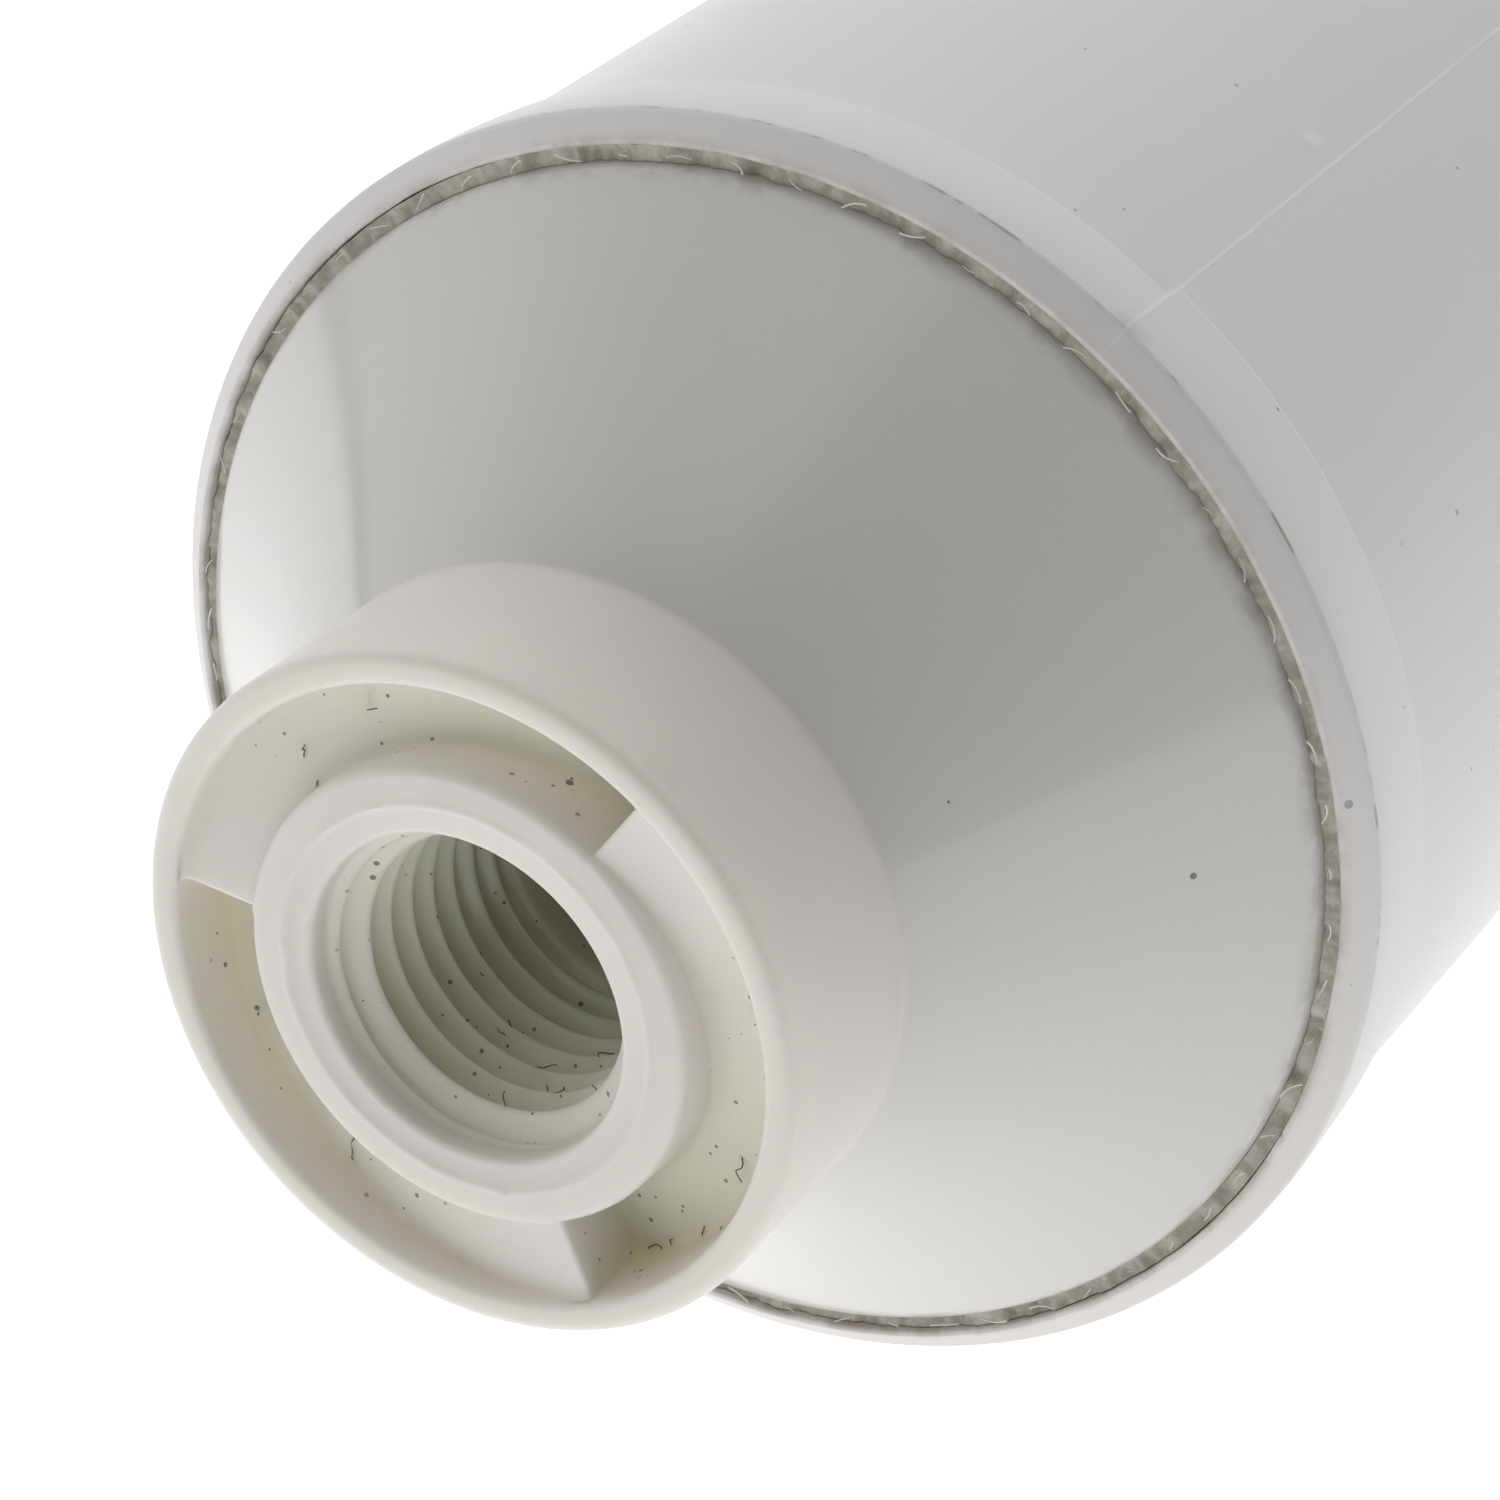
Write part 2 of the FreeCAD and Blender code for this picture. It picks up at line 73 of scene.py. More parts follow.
def put(tree, kind, inputs=None, **settings):
    """A node whose inputs are set to values or fed by other nodes' sockets."""
    node = tree.nodes.new(kind)
    for name, setting in settings.items():
        setattr(node, name, setting)
    for name, source in (inputs or {}).items():
        if isinstance(source, bpy.types.NodeSocket):
            tree.links.new(source, node.inputs[name])
        else:
            node.inputs[name].default_value = source
    return node


def object_place(tree):
    """Where a point lies on the piece, in metres."""
    return put(tree, "ShaderNodeTexCoord").outputs["Object"]


def speckle(tree, place, scale, detail=4.0, roughness=0.55, distortion=0.0):
    """Soft cloudy noise between 0 and 1."""
    inputs = {
        "Vector": place,
        "Scale": scale,
        "Detail": detail,
        "Roughness": roughness,
        "Distortion": distortion,
    }
    return put(tree, "ShaderNodeTexNoise", inputs).outputs["Fac"]


def ramp(tree, source, low, high, start=0.0, end=1.0):
    """A value that goes smoothly from start to end as source goes from low to high."""
    inputs = {
        "Value": source,
        "From Min": low,
        "From Max": high,
        "To Min": start,
        "To Max": end,
    }
    node = put(tree, "ShaderNodeMapRange", inputs, interpolation_type="SMOOTHSTEP")
    return node.outputs["Result"]


def sums(tree, operation, first, second=0.0):
    """One arithmetic step."""
    return put(tree, "ShaderNodeMath", {0: first, 1: second}, operation=operation).outputs[0]


def mix(tree, share, first, second):
    """A colour between two others."""
    colours = {0: share, 6: first, 7: second}
    node = put(tree, "ShaderNodeMix", colours, data_type="RGBA")
    return node.outputs[2]


def bump(tree, height, strength, depth, below=None):
    """Fine relief in the surface, depth in metres."""
    inputs = {"Height": height, "Strength": strength, "Distance": depth}
    if below is not None:
        inputs["Normal"] = below
    return put(tree, "ShaderNodeBump", inputs).outputs["Normal"]


def moulded(name, light, dark, roughness, grain_scale=2500.0, relief=0.12):
    """Moulded plastic: cloudy tone, uneven gloss and a fine spark-eroded grain."""
    material, tree, shader = new_material(name)
    place = object_place(tree)
    clouds = speckle(tree, place, 90.0)
    grain = speckle(tree, place, grain_scale, 2.0)
    tree.links.new(mix(tree, clouds, dark, light), shader.inputs["Base Color"])
    gloss = ramp(tree, clouds, 0.3, 0.7, roughness - 0.05, roughness + 0.07)
    tree.links.new(gloss, shader.inputs["Roughness"])
    relief_normal = bump(tree, grain, relief, 0.05 * MM)
    tree.links.new(relief_normal, shader.inputs["Normal"])
    return material


def finish(node, material):
    """Gives a carried-over piece its own material."""
    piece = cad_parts[node]
    piece.data.materials.clear()
    piece.data.materials.append(material)


finish("core_tube", moulded("core_plastic", (0.80, 0.81, 0.79, 1), (0.70, 0.71, 0.69, 1), 0.42))

# ---------------------------------------------------------------------------------------------
# Filter element: fleeces. A thin spun-bonded fleece round the core keeps carbon fines out of the
# water, and a thicker one round the block catches rust and sand. Both are wrapped and tacked.


def fleece(name, light, dark, fibre_scale):
    """Non-woven fabric: crossing fibres pressed flat, with soft thick and thin places."""
    material, tree, shader = new_material(name)
    place = object_place(tree)
    stretched = []
    for turn in (0.35, -0.5):
        inputs = {"Vector": place, "Rotation": (turn, turn, 0.0), "Scale": (0.25, 0.25, 2.2)}
        mapped = put(tree, "ShaderNodeMapping", inputs).outputs["Vector"]
        stretched.append(speckle(tree, mapped, fibre_scale, 3.0, 0.6, 0.6))
    fibres = sums(tree, "MAXIMUM", stretched[0], stretched[1])
    thick = speckle(tree, place, 220.0)
    share = sums(tree, "MULTIPLY", fibres, ramp(tree, thick, 0.3, 0.7, 0.75, 1.1))
    tree.links.new(mix(tree, share, dark, light), shader.inputs["Base Color"])
    shader.inputs["Roughness"].default_value = 0.9
    shader.inputs["Sheen Weight"].default_value = 0.25
    tree.links.new(bump(tree, fibres, 0.6, 0.12 * MM), shader.inputs["Normal"])
    return material


finish("inner_fleece", fleece("core_fleece", (0.85, 0.85, 0.82, 1), (0.50, 0.50, 0.48, 1), 1500.0))
finish(
    "prefilter_wrap",
    fleece("prefilter_fleece", (0.88, 0.88, 0.86, 1), (0.55, 0.55, 0.53, 1), 900.0),
)

# ---------------------------------------------------------------------------------------------
# Filter element: carbon block. Powdered activated carbon sintered with a binder in a tube
# mould, matt black with grey grains and tiny pores, cut to length with sawn ends.


def carbon():
    """Sintered carbon: black, with lighter grains and open pores."""
    material, tree, shader = new_material("activated_carbon")
    place = object_place(tree)
    cells = put(tree, "ShaderNodeTexVoronoi", {"Vector": place, "Scale": 2200.0})
    grains = ramp(tree, cells.outputs["Distance"], 0.1, 0.7)
    tone = mix(tree, grains, (0.045, 0.046, 0.05, 1), (0.008, 0.008, 0.009, 1))
    tree.links.new(tone, shader.inputs["Base Color"])
    shine = ramp(tree, cells.outputs["Color"], 0.2, 0.9, 0.9, 0.55)
    tree.links.new(shine, shader.inputs["Roughness"])
    tree.links.new(bump(tree, grains, 0.7, 0.1 * MM), shader.inputs["Normal"])
    return material


finish("carbon_block", carbon())

# ---------------------------------------------------------------------------------------------
# Filter element: outer netting. An extruded polyethylene sleeve net that holds the wrap on. Its
# round strands are welded where they cross, and it is cut to the length of the block.

NET_STRANDS = 20
NET_TURNS = 3.0
STRAND_RADIUS = 0.28 * MM
STRAND_SIDES = 5
STRAND_STEPS = 26
net_low, net_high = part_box("outer_netting")
net_radius = net_high[0] - STRAND_RADIUS
net_plastic = moulded("netting_plastic", (0.82, 0.84, 0.86, 1), (0.72, 0.74, 0.76, 1), 0.32)


def fresh_tree(name):
    """An empty Geometry Nodes tree with its output."""
    tree = bpy.data.node_groups.new(name, "GeometryNodeTree")
    tree.interface.new_socket("Geometry", in_out="OUTPUT", socket_type="NodeSocketGeometry")
    return tree


def tree_input(tree, name, kind, value):
    """A named size on a tree's modifier."""
    socket = tree.interface.new_socket(name, in_out="INPUT", socket_type=f"NodeSocket{kind}")
    socket.default_value = value
    return socket


def round_section(tree, sides, radius):
    """The round section that a strand, hair or curl is swept with."""
    inputs = {"Resolution": sides, "Radius": radius}
    return put(tree, "GeometryNodeCurvePrimitiveCircle", inputs).outputs["Curve"]


def sweep(tree, curve, section):
    """A closed strand: the section carried along the curve, with both ends capped."""
    inputs = {"Curve": curve, "Profile Curve": section, "Fill Caps": True}
    return put(tree, "GeometryNodeCurveToMesh", inputs).outputs["Mesh"]


def end_tree(tree, geometry, material):
    """Gives the geometry its material and sends it out of the tree."""
    named = put(tree, "GeometryNodeSetMaterial", {"Geometry": geometry, "Material": material})
    put(tree, "NodeGroupOutput", {"Geometry": named.outputs["Geometry"]})


def grow(name, tree, material, base=None):
    """Runs a tree on a base mesh, or on an empty one, and keeps what it makes as a plain mesh."""
    seed_piece = bpy.data.objects.new(name, base or bpy.data.meshes.new(name))
    bpy.context.scene.collection.objects.link(seed_piece)
    modifier = seed_piece.modifiers.new(name, "NODES")
    modifier.node_group = tree
    for item in tree.interface.items_tree:
        if item.in_out == "INPUT" and item.socket_type != "NodeSocketGeometry":
            modifier[item.identifier] = item.default_value
    view = bpy.context.evaluated_depsgraph_get()
    made = bpy.data.meshes.new_from_object(seed_piece.evaluated_get(view), depsgraph=view)
    seed_piece.modifiers.clear()
    seed_piece.data = made
    made.name = name
    made.materials.clear()
    made.materials.append(material)
    return seed_piece


def net_tree():
    """One helical strand each way, repeated round the sleeve."""
    tree = fresh_tree("sleeve_net")
    tree_input(tree, "Strands", "Int", NET_STRANDS)
    tree_input(tree, "Turns", "Float", NET_TURNS)
    tree_input(tree, "Radius", "Float", net_radius)
    tree_input(tree, "Length", "Float", net_high[1] - net_low[1])
    tree_input(tree, "Strand radius", "Float", STRAND_RADIUS)
    sizes = put(tree, "NodeGroupInput").outputs
    section = round_section(tree, STRAND_SIDES, sizes["Strand radius"])
    both = put(tree, "GeometryNodeJoinGeometry")
    for backwards in (False, True):
        strand = put(
            tree,
            "GeometryNodeCurveSpiral",
            {
                "Resolution": STRAND_STEPS,
                "Rotations": sizes["Turns"],
                "Start Radius": sizes["Radius"],
                "End Radius": sizes["Radius"],
                "Height": sizes["Length"],
                "Reverse": backwards,
            },
        )
        tree.links.new(strand.outputs["Curve"], both.inputs["Geometry"])
    swept = sweep(tree, both.outputs["Geometry"], section)
    turn = put(tree, "ShaderNodeMath", {0: math.tau, 1: sizes["Strands"]}, operation="DIVIDE")
    points = put(tree, "GeometryNodePoints", {"Count": sizes["Strands"]})
    number = put(tree, "GeometryNodeInputIndex").outputs["Index"]
    angle = put(tree, "ShaderNodeMath", {0: number, 1: turn.outputs[0]}, operation="MULTIPLY")
    spin = put(tree, "ShaderNodeCombineXYZ", {"Z": angle.outputs[0]})
    repeated = put(
        tree,
        "GeometryNodeInstanceOnPoints",
        {
            "Points": points.outputs["Points"],
            "Instance": swept,
            "Rotation": spin.outputs["Vector"],
        },
    )
    real = put(tree, "GeometryNodeRealizeInstances", {"Geometry": repeated.outputs["Instances"]})
    laid = put(
        tree,
        "GeometryNodeTransform",
        {
            "Geometry": real.outputs["Geometry"],
            "Rotation": (-math.pi / 2, 0, 0),
            "Translation": (0, net_low[1], 0),
        },
    )
    smooth = put(tree, "GeometryNodeSetShadeSmooth", {"Geometry": laid.outputs["Geometry"]})
    end_tree(tree, smooth.outputs["Geometry"], net_plastic)
    return tree


netting = grow("sleeve_netting", net_tree(), net_plastic)
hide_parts("outer_netting")
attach(netting, "root")

# ---------------------------------------------------------------------------------------------
# Filter element: end cups, glue and seals. Both ends of the block are set in cups filled with
# hot-melt. The outlet cup has a grooved spigot with two rubber rings that seal in the end cap.

cup_plastic = moulded("element_plastic", (0.78, 0.80, 0.82, 1), (0.68, 0.70, 0.72, 1), 0.36)
finish("closed_element_cap", cup_plastic)
finish("open_element_cap", cup_plastic)


def hot_melt():
    """Set hot-melt: milky amber, glossy and slightly wavy."""
    material, tree, shader = new_material("hot_melt")
    waves = speckle(tree, object_place(tree), 160.0, 3.0, 0.5, 0.8)
    tone = mix(tree, waves, (0.70, 0.64, 0.48, 1), (0.80, 0.77, 0.66, 1))
    tree.links.new(tone, shader.inputs["Base Color"])
    shader.inputs["Roughness"].default_value = 0.22
    shader.inputs["Coat Weight"].default_value = 0.2
    tree.links.new(bump(tree, waves, 0.5, 0.2 * MM), shader.inputs["Normal"])
    return material


glue = hot_melt()
finish("closed_cap_glue", glue)
finish("open_cap_glue", glue)


def rubber():
    """Moulded rubber ring: matt black, faintly bloomed, with a fine grain."""
    material, tree, shader = new_material("seal_rubber")
    place = object_place(tree)
    bloom = speckle(tree, place, 400.0)
    tone = mix(tree, bloom, (0.012, 0.012, 0.013, 1), (0.035, 0.035, 0.036, 1))
    tree.links.new(tone, shader.inputs["Base Color"])
    tree.links.new(ramp(tree, bloom, 0.3, 0.7, 0.48, 0.66), shader.inputs["Roughness"])
    grain = speckle(tree, place, 5000.0, 2.0)
    tree.links.new(bump(tree, grain, 0.15, 0.03 * MM), shader.inputs["Normal"])
    return material


seal_material = rubber()
finish("inner_o_ring", seal_material)
finish("outer_o_ring", seal_material)

# ---------------------------------------------------------------------------------------------
# Body shell. A moulded white polypropylene tube with a raised collar and a weld socket at each
# end. The mould splits along its length, so a fine line runs down it, and the two halves'
# collars don't quite match. Dirt sits in the scratch behind each collar's front edge.

shell_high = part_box("body_shell")[1]
END = shell_high[1] / MM
COLLAR = shell_high[0] / MM
TUBE = COLLAR - 0.8
TUBE_BORE = TUBE - 2.6
TUBE_ROWS = 12
SOCKET = COLLAR - 1.3
SOCKET_DEPTH = 4.7
SOCKET_LIP = 0.4
LIP_FLAT = 0.25
COLLAR_SLOPE = 0.78
COLLAR_SINK = 0.06
CROWN_START, CROWN_MIDDLE = 2.2, 3.4
COLLAR_CROWN = 0.22
COLLAR_BACKS = ((5.8, 6.2), (5.0, 5.5))
FOOT_LENGTH = 1.5
BORE_ROUND = 0.3
COLUMNS = 240
SPLIT = math.radians(54.6)
SPLIT_WIDTH = 0.1
SPLIT_HEIGHT = 0.04
SPLIT_COLUMNS = (-0.3, -0.16, -0.1, -0.05, 0.0, 0.05, 0.1, 0.16, 0.3)
HALF_STEP = 0.03
SCRATCH_PLACE = 1.05
SCRATCH_DEPTH = 0.05
SCRATCH_WIDTH = 0.1
SCRATCH_GRIME = 0.16
SCAR_ANGLE, SCAR_PLACE = math.radians(57.6), 20.8
SCAR_SIZE = 0.9 * MM
SCAR = (TUBE * math.cos(SCAR_ANGLE) * MM, (SCAR_PLACE - END) * MM, TUBE * math.sin(SCAR_ANGLE) * MM)


def rounded(corners, closed=True, steps=4):
    """An outline in radius and height. Each corner is (radius, height, rounding), and the
    rounding is drawn as an arc that touches both sides."""
    points = []
    count = len(corners)
    for number, (across, up, fillet) in enumerate(corners):
        if not fillet or (not closed and number in (0, count - 1)):
            points.append((across, up))
            continue
        here = Vector((across, up))
        back = (Vector(corners[number - 1][:2]) - here).normalized()
        on = (Vector(corners[(number + 1) % count][:2]) - here).normalized()
        half = back.angle(on) / 2
        centre = here + (back + on).normalized() * fillet / math.sin(half)
        first = here + back * fillet / math.tan(half) - centre
        last = here + on * fillet / math.tan(half) - centre
        turn = -first.angle_signed(last)
        for step in range(steps + 1):
            spoke = first.copy()
            spoke.rotate(Matrix.Rotation(turn * step / steps, 2))
            points.append(tuple(centre + spoke))
    return points


def ring_faces(columns, rows, closed_section):
    """The quads of a grid of columns that closes round the axis."""
    faces = []
    for column in range(columns):
        after = (column + 1) % columns
        for row in range(rows if closed_section else rows - 1):
            above = (row + 1) % rows
            here, beside = column * rows, after * rows
            faces.append((here + row, here + above, beside + above, beside + row))
    return faces


def turned(angles, section, closed_section=True):
    """Points and faces of a section swept once round the long axis. section(angle) gives
    (radius, height) points in millimetres, and heights lie along Y."""
    points, rows = [], 0
    for angle in angles:
        outline = section(angle)
        rows = len(outline)
        across, up = math.cos(angle) * MM, math.sin(angle) * MM
        points += [(radius * across, height * MM, radius * up) for radius, height in outline]
    return points, ring_faces(len(angles), rows, closed_section)


def make_piece(name, points, faces, material, crease=40.0):
    """A closed piece with outward faces, smooth but for its sharp edges."""
    mesh = bpy.data.meshes.new(name)
    mesh.from_pydata(points, [], faces)
    work = bmesh.new()
    work.from_mesh(mesh)
    bmesh.ops.remove_doubles(work, verts=work.verts, dist=0.5e-6)
    bmesh.ops.dissolve_degenerate(work, edges=work.edges, dist=0.2e-6)
    bmesh.ops.recalc_face_normals(work, faces=work.faces)
    for face in work.faces:
        face.smooth = True
    work.to_mesh(mesh)
    work.free()
    mesh.set_sharp_from_angle(angle=math.radians(crease))
    mesh.materials.append(material)
    piece = bpy.data.objects.new(name, mesh)
    bpy.context.scene.collection.objects.link(piece)
    weighted = piece.modifiers.new("weighted normals", "WEIGHTED_NORMAL")
    weighted.keep_sharp = True
    view = bpy.context.evaluated_depsgraph_get()
    kept = bpy.data.meshes.new_from_object(piece.evaluated_get(view), depsgraph=view)
    piece.modifiers.clear()
    piece.data = kept
    kept.name = name
    return piece


def join(piece, other):
    """Adds another piece's mesh and material to a piece, and removes the other."""
    piece.data.materials.append(other.data.materials[0])
    joined = bmesh.new()
    joined.from_mesh(piece.data)
    before = len(joined.faces)
    joined.from_mesh(other.data)
    joined.faces.ensure_lookup_table()
    for face in joined.faces[before:]:
        face.material_index = len(piece.data.materials) - 1
        face.smooth = True
    joined.to_mesh(piece.data)
    joined.free()
    bpy.data.objects.remove(other)


def split_distance(angle):
    """How far round the tube a point is from the nearer mould line, in millimetres. It is
    positive on the half with the longer collars."""
    off = (angle - SPLIT + math.pi / 2) % math.pi - math.pi / 2
    turns = math.floor((angle - SPLIT + math.pi / 2) / math.pi)
    return (-off if turns % 2 == 0 else off) * TUBE


def wobble(angle, height, scale, size):
    """Smooth unevenness that closes on itself round the axis."""
    return noise.noise((math.cos(angle) * scale, math.sin(angle) * scale, height)) * size


def shell_section(angle):
    """The tube's section with both collars at this angle."""
    off = split_distance(angle)
    share = min(max(off / SPLIT_WIDTH + 0.5, 0.0), 1.0)
    longer, shorter = COLLAR_BACKS
    back = shorter[0] + (longer[0] - shorter[0]) * share + wobble(angle, 3.0, 2.5, 0.08)
    foot = shorter[1] + (longer[1] - shorter[1]) * share + wobble(angle, 7.0, 2.5, 0.06)
    line = SPLIT_HEIGHT * math.exp(-((off / SPLIT_WIDTH) ** 2)) - HALF_STEP * (1 - share)
    tube = TUBE + line + 0.02
    collar = COLLAR - COLLAR_SINK + line + wobble(angle, 1.0, 3.0, 0.02)
    mouth = SOCKET + wobble(angle, 5.0, 14.0, 0.03)
    end = [
        (SOCKET, END - SOCKET_DEPTH, 0),
        (mouth, END - SOCKET_LIP, 0),
        (mouth, END - 0.02, 0.12),
        (mouth + LIP_FLAT, END - 0.03, 0.15),
        (collar - 0.09, END - COLLAR_SLOPE, 0.3),
        (collar, END - SCRATCH_PLACE + SCRATCH_WIDTH, 0),
        (collar - SCRATCH_DEPTH, END - SCRATCH_PLACE, 0),
        (collar, END - SCRATCH_PLACE - SCRATCH_WIDTH, 0),
        (collar, END - CROWN_START, 0),
        (collar - COLLAR_CROWN * 0.3, END - CROWN_MIDDLE, 0),
        (collar - COLLAR_CROWN, END - back, 0.4),
        (tube, END - foot, 0.12),
        (tube, END - foot - FOOT_LENGTH, 0),
    ]
    along = [(tube, END * (1 - 2 * step / TUBE_ROWS), 0) for step in range(1, TUBE_ROWS)]
    far = [(across, -up, fillet) for across, up, fillet in reversed(end)]
    inner = [(TUBE_BORE, -END + SOCKET_DEPTH, BORE_ROUND), (TUBE_BORE, END - SOCKET_DEPTH, BORE_ROUND)]
    return rounded(end + along + far + inner)


def shell_angles():
    """Even columns, with close ones at the two mould lines."""
    angles = {math.tau * step / COLUMNS for step in range(COLUMNS)}
    for line in (SPLIT, SPLIT + math.pi):
        for off in SPLIT_COLUMNS:
            angles.add((line + off / TUBE) % math.tau)
    return sorted(angles)


def axis_measures(tree, place):
    """Distance from the long axis and from the middle of the cartridge, in millimetres."""
    parts = put(tree, "ShaderNodeSeparateXYZ", {"Vector": place})
    across = put(tree, "ShaderNodeCombineXYZ", {"X": parts.outputs["X"], "Z": parts.outputs["Z"]})
    length = put(tree, "ShaderNodeVectorMath", {0: across.outputs["Vector"]}, operation="LENGTH")
    radius = sums(tree, "MULTIPLY", length.outputs["Value"], 1 / MM)
    along = sums(tree, "MULTIPLY", sums(tree, "ABSOLUTE", parts.outputs["Y"]), 1 / MM)
    return radius, along


def near(tree, source, centre, width):
    """1 where source is at centre, falling to 0 a width away."""
    off = sums(tree, "ABSOLUTE", sums(tree, "SUBTRACT", source, centre))
    return ramp(tree, off, 0.0, width, 1.0, 0.0)


def dust(tree, place, scale, size, share):
    """Single dark specks: 1 inside a speck. share is the part of the cells that have one."""
    cells = put(tree, "ShaderNodeTexVoronoi", {"Vector": place, "Scale": scale, "Randomness": 1.0})
    parts = put(tree, "ShaderNodeSeparateColor", {"Color": cells.outputs["Color"]})
    chosen = sums(tree, "LESS_THAN", parts.outputs["Red"], share)
    wide = sums(tree, "MULTIPLY", parts.outputs["Green"], size)
    inside = sums(tree, "LESS_THAN", cells.outputs["Distance"], wide)
    return sums(tree, "MULTIPLY", chosen, inside)


def strongest(tree, *shares):
    """The largest of several values."""
    result = shares[0]
    for share in shares[1:]:
        result = sums(tree, "MAXIMUM", result, share)
    return result


def shell_plastic():
    """Warm white polypropylene, scuffed, with grime in the weld mouth and the scratch."""
    material, tree, shader = new_material("shell_plastic")
    place = object_place(tree)
    radius, along = axis_measures(tree, place)
    clouds = speckle(tree, place, 70.0, 5.0)
    base = mix(tree, clouds, (0.775, 0.753, 0.735, 1), (0.812, 0.792, 0.775, 1))
    # grime in the scratch, broken into dashes
    dashes = ramp(tree, speckle(tree, place, 320.0, 3.0, 0.7), 0.50, 0.62)
    scratch = near(tree, along, END - SCRATCH_PLACE, SCRATCH_GRIME)
    scratch = sums(tree, "MULTIPLY", sums(tree, "MULTIPLY", scratch, dashes), 0.6)
    # brown film round the weld mouth, thinning outwards over the collar's face
    smear = speckle(tree, place, 420.0, 5.0, 0.65)
    mouth = ramp(tree, radius, SOCKET - 0.1, SOCKET + 0.6, 1.0, 0.0)
    front = ramp(tree, along, END - 2.0, END - 1.0)
    film = sums(tree, "MULTIPLY", sums(tree, "MULTIPLY", mouth, front), ramp(tree, smear, 0.38, 0.62))
    film = sums(tree, "MULTIPLY", film, 0.6)
    stained = mix(tree, film, base, (0.40, 0.34, 0.28, 1))
    specks = strongest(tree, dust(tree, place, 500.0, 0.09, 0.22), dust(tree, place, 900.0, 0.10, 0.10))
    marks = strongest(tree, scratch, sums(tree, "MULTIPLY", specks, 0.55))
    # painted highlight along the raised mould line, broken into patches
    split_side = (-math.sin(SPLIT), 0.0, math.cos(SPLIT))
    off_split = put(tree, "ShaderNodeVectorMath", {0: place, 1: split_side}, operation="DOT_PRODUCT")
    painted_split_highlight = near(tree, off_split.outputs["Value"], 0.0, SPLIT_WIDTH * 0.9 * MM)
    painted_split_highlight = sums(tree, "MULTIPLY", painted_split_highlight, ramp(tree, smear, 0.38, 0.62, 0.05, 0.6))
    stained = mix(tree, painted_split_highlight, stained, (0.93, 0.92, 0.89, 1))
    # a small scar beside the mould line
    away = put(tree, "ShaderNodeVectorMath", {0: place, 1: SCAR}, operation="DISTANCE")
    scar = near(tree, away.outputs["Value"], 0.0, SCAR_SIZE)
    scar = sums(tree, "MULTIPLY", scar, ramp(tree, smear, 0.42, 0.58))
    stained = mix(tree, sums(tree, "MULTIPLY", scar, 0.5), stained, (0.90, 0.89, 0.88, 1))
    tree.links.new(mix(tree, marks, stained, (0.16, 0.15, 0.13, 1)), shader.inputs["Base Color"])
    tree.links.new(ramp(tree, clouds, 0.3, 0.7, 0.30, 0.40), shader.inputs["Roughness"])
    # long shallow flow marks and fine scuffs
    flow = speckle(tree, place, 26.0, 2.0)
    scuffs = speckle(tree, place, 900.0, 4.0, 0.7, 1.5)
    relief = bump(tree, flow, 0.10, 0.6 * MM)
    relief = bump(tree, scuffs, 0.05, 0.06 * MM, relief)
    relief = bump(tree, scar, 0.5, 0.1 * MM, relief)
    tree.links.new(relief, shader.inputs["Normal"])
    shader.inputs["IOR"].default_value = 1.49
    return material


shell_points, shell_faces = turned(shell_angles(), shell_section)
shell = make_piece("moulded_shell", shell_points, shell_faces, shell_plastic(), 50.0)
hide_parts("body_shell")
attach(shell, "root")

# ---------------------------------------------------------------------------------------------
# End caps. One polypropylene moulding for both ends: a glossy dished cone, a round skirt, a boss
# with a taper pipe thread, and three one-way ramps between them. A welding tool drives the ramps
# and spins the cap in the shell's socket until its edge melts.

cap_low, cap_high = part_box("inlet_end_cap")
PORT = -cap_low[1] / MM - END
CAP_EDGE = cap_high[0] / MM - 0.3
SPIGOT_END = -SOCKET_DEPTH
CAP_FOOT = 0.2
CAP_WALL = 2.4
DISH = 88.0
DISH_STEPS = 14
ROOT_RADIUS, ROOT_HEIGHT = 13.9, 12.0
ROOT_FLARE, ROOT_RISE = 0.07, 1.6
SKIRT, SKIRT_BORE = 14.2, 12.9
WITNESS_PLACE, WITNESS_HALF = 0.70, 0.08
BOSS, BOSS_FACE = 9.5, PORT - 0.15
BOSS_EDGE = 0.35
BOSS_DRAFT = 0.10
BOSS_INNER_END = -8.0
SEAL_BORE, SEAL_BORE_FLOOR = 6.6, 1.5
RIDGE_RADIUS, RIDGE_HEIGHT = 8.1, 0.13
MOUTH = 6.82
RAMP_TOP = PORT - 0.5
RAMP_FALL = 3.4
RAMP_WALL = 2.6
RAMPS = 3
FIRST_STEP = math.radians(54.0)
STEP_ROUND, STEP_DRAFT, STEP_FOOT = 0.22, 0.12, 0.45
STEP_COLUMNS = (-0.5, -STEP_ROUND, -0.15, -0.09, -0.04, 0.0, STEP_DRAFT, 0.16, 0.22, 0.32, 0.45, 0.7)
RAMP_MIDDLE = (BOSS + SKIRT_BORE) / 2
PITCH = 1.411
THREAD_END = PORT - 12.5
ROOT_AT_FACE = 6.81
ROOT_SOFTNESS = 0.16
CREST_SOFTNESS = 0.16
TAPER = 1 / 32
CREST = 5.5
HOLE = 5.3
HOLE_TOP = 5.0
CREST_START = 18.5
CREST_ANGLE = math.radians(-84.5)
THREAD_ROWS = 14
THREAD_TOP = 19.95
LEAD_IN = MOUTH - 0.04
LEAD_IN_TOP = 19.55
LEAD_IN_SLOPE = 1.15
LINT_DENSITY = 110000.0
LINT_LENGTH = 1.35
LINT_THICKNESS = 0.028
LINT_CURL = 1.3


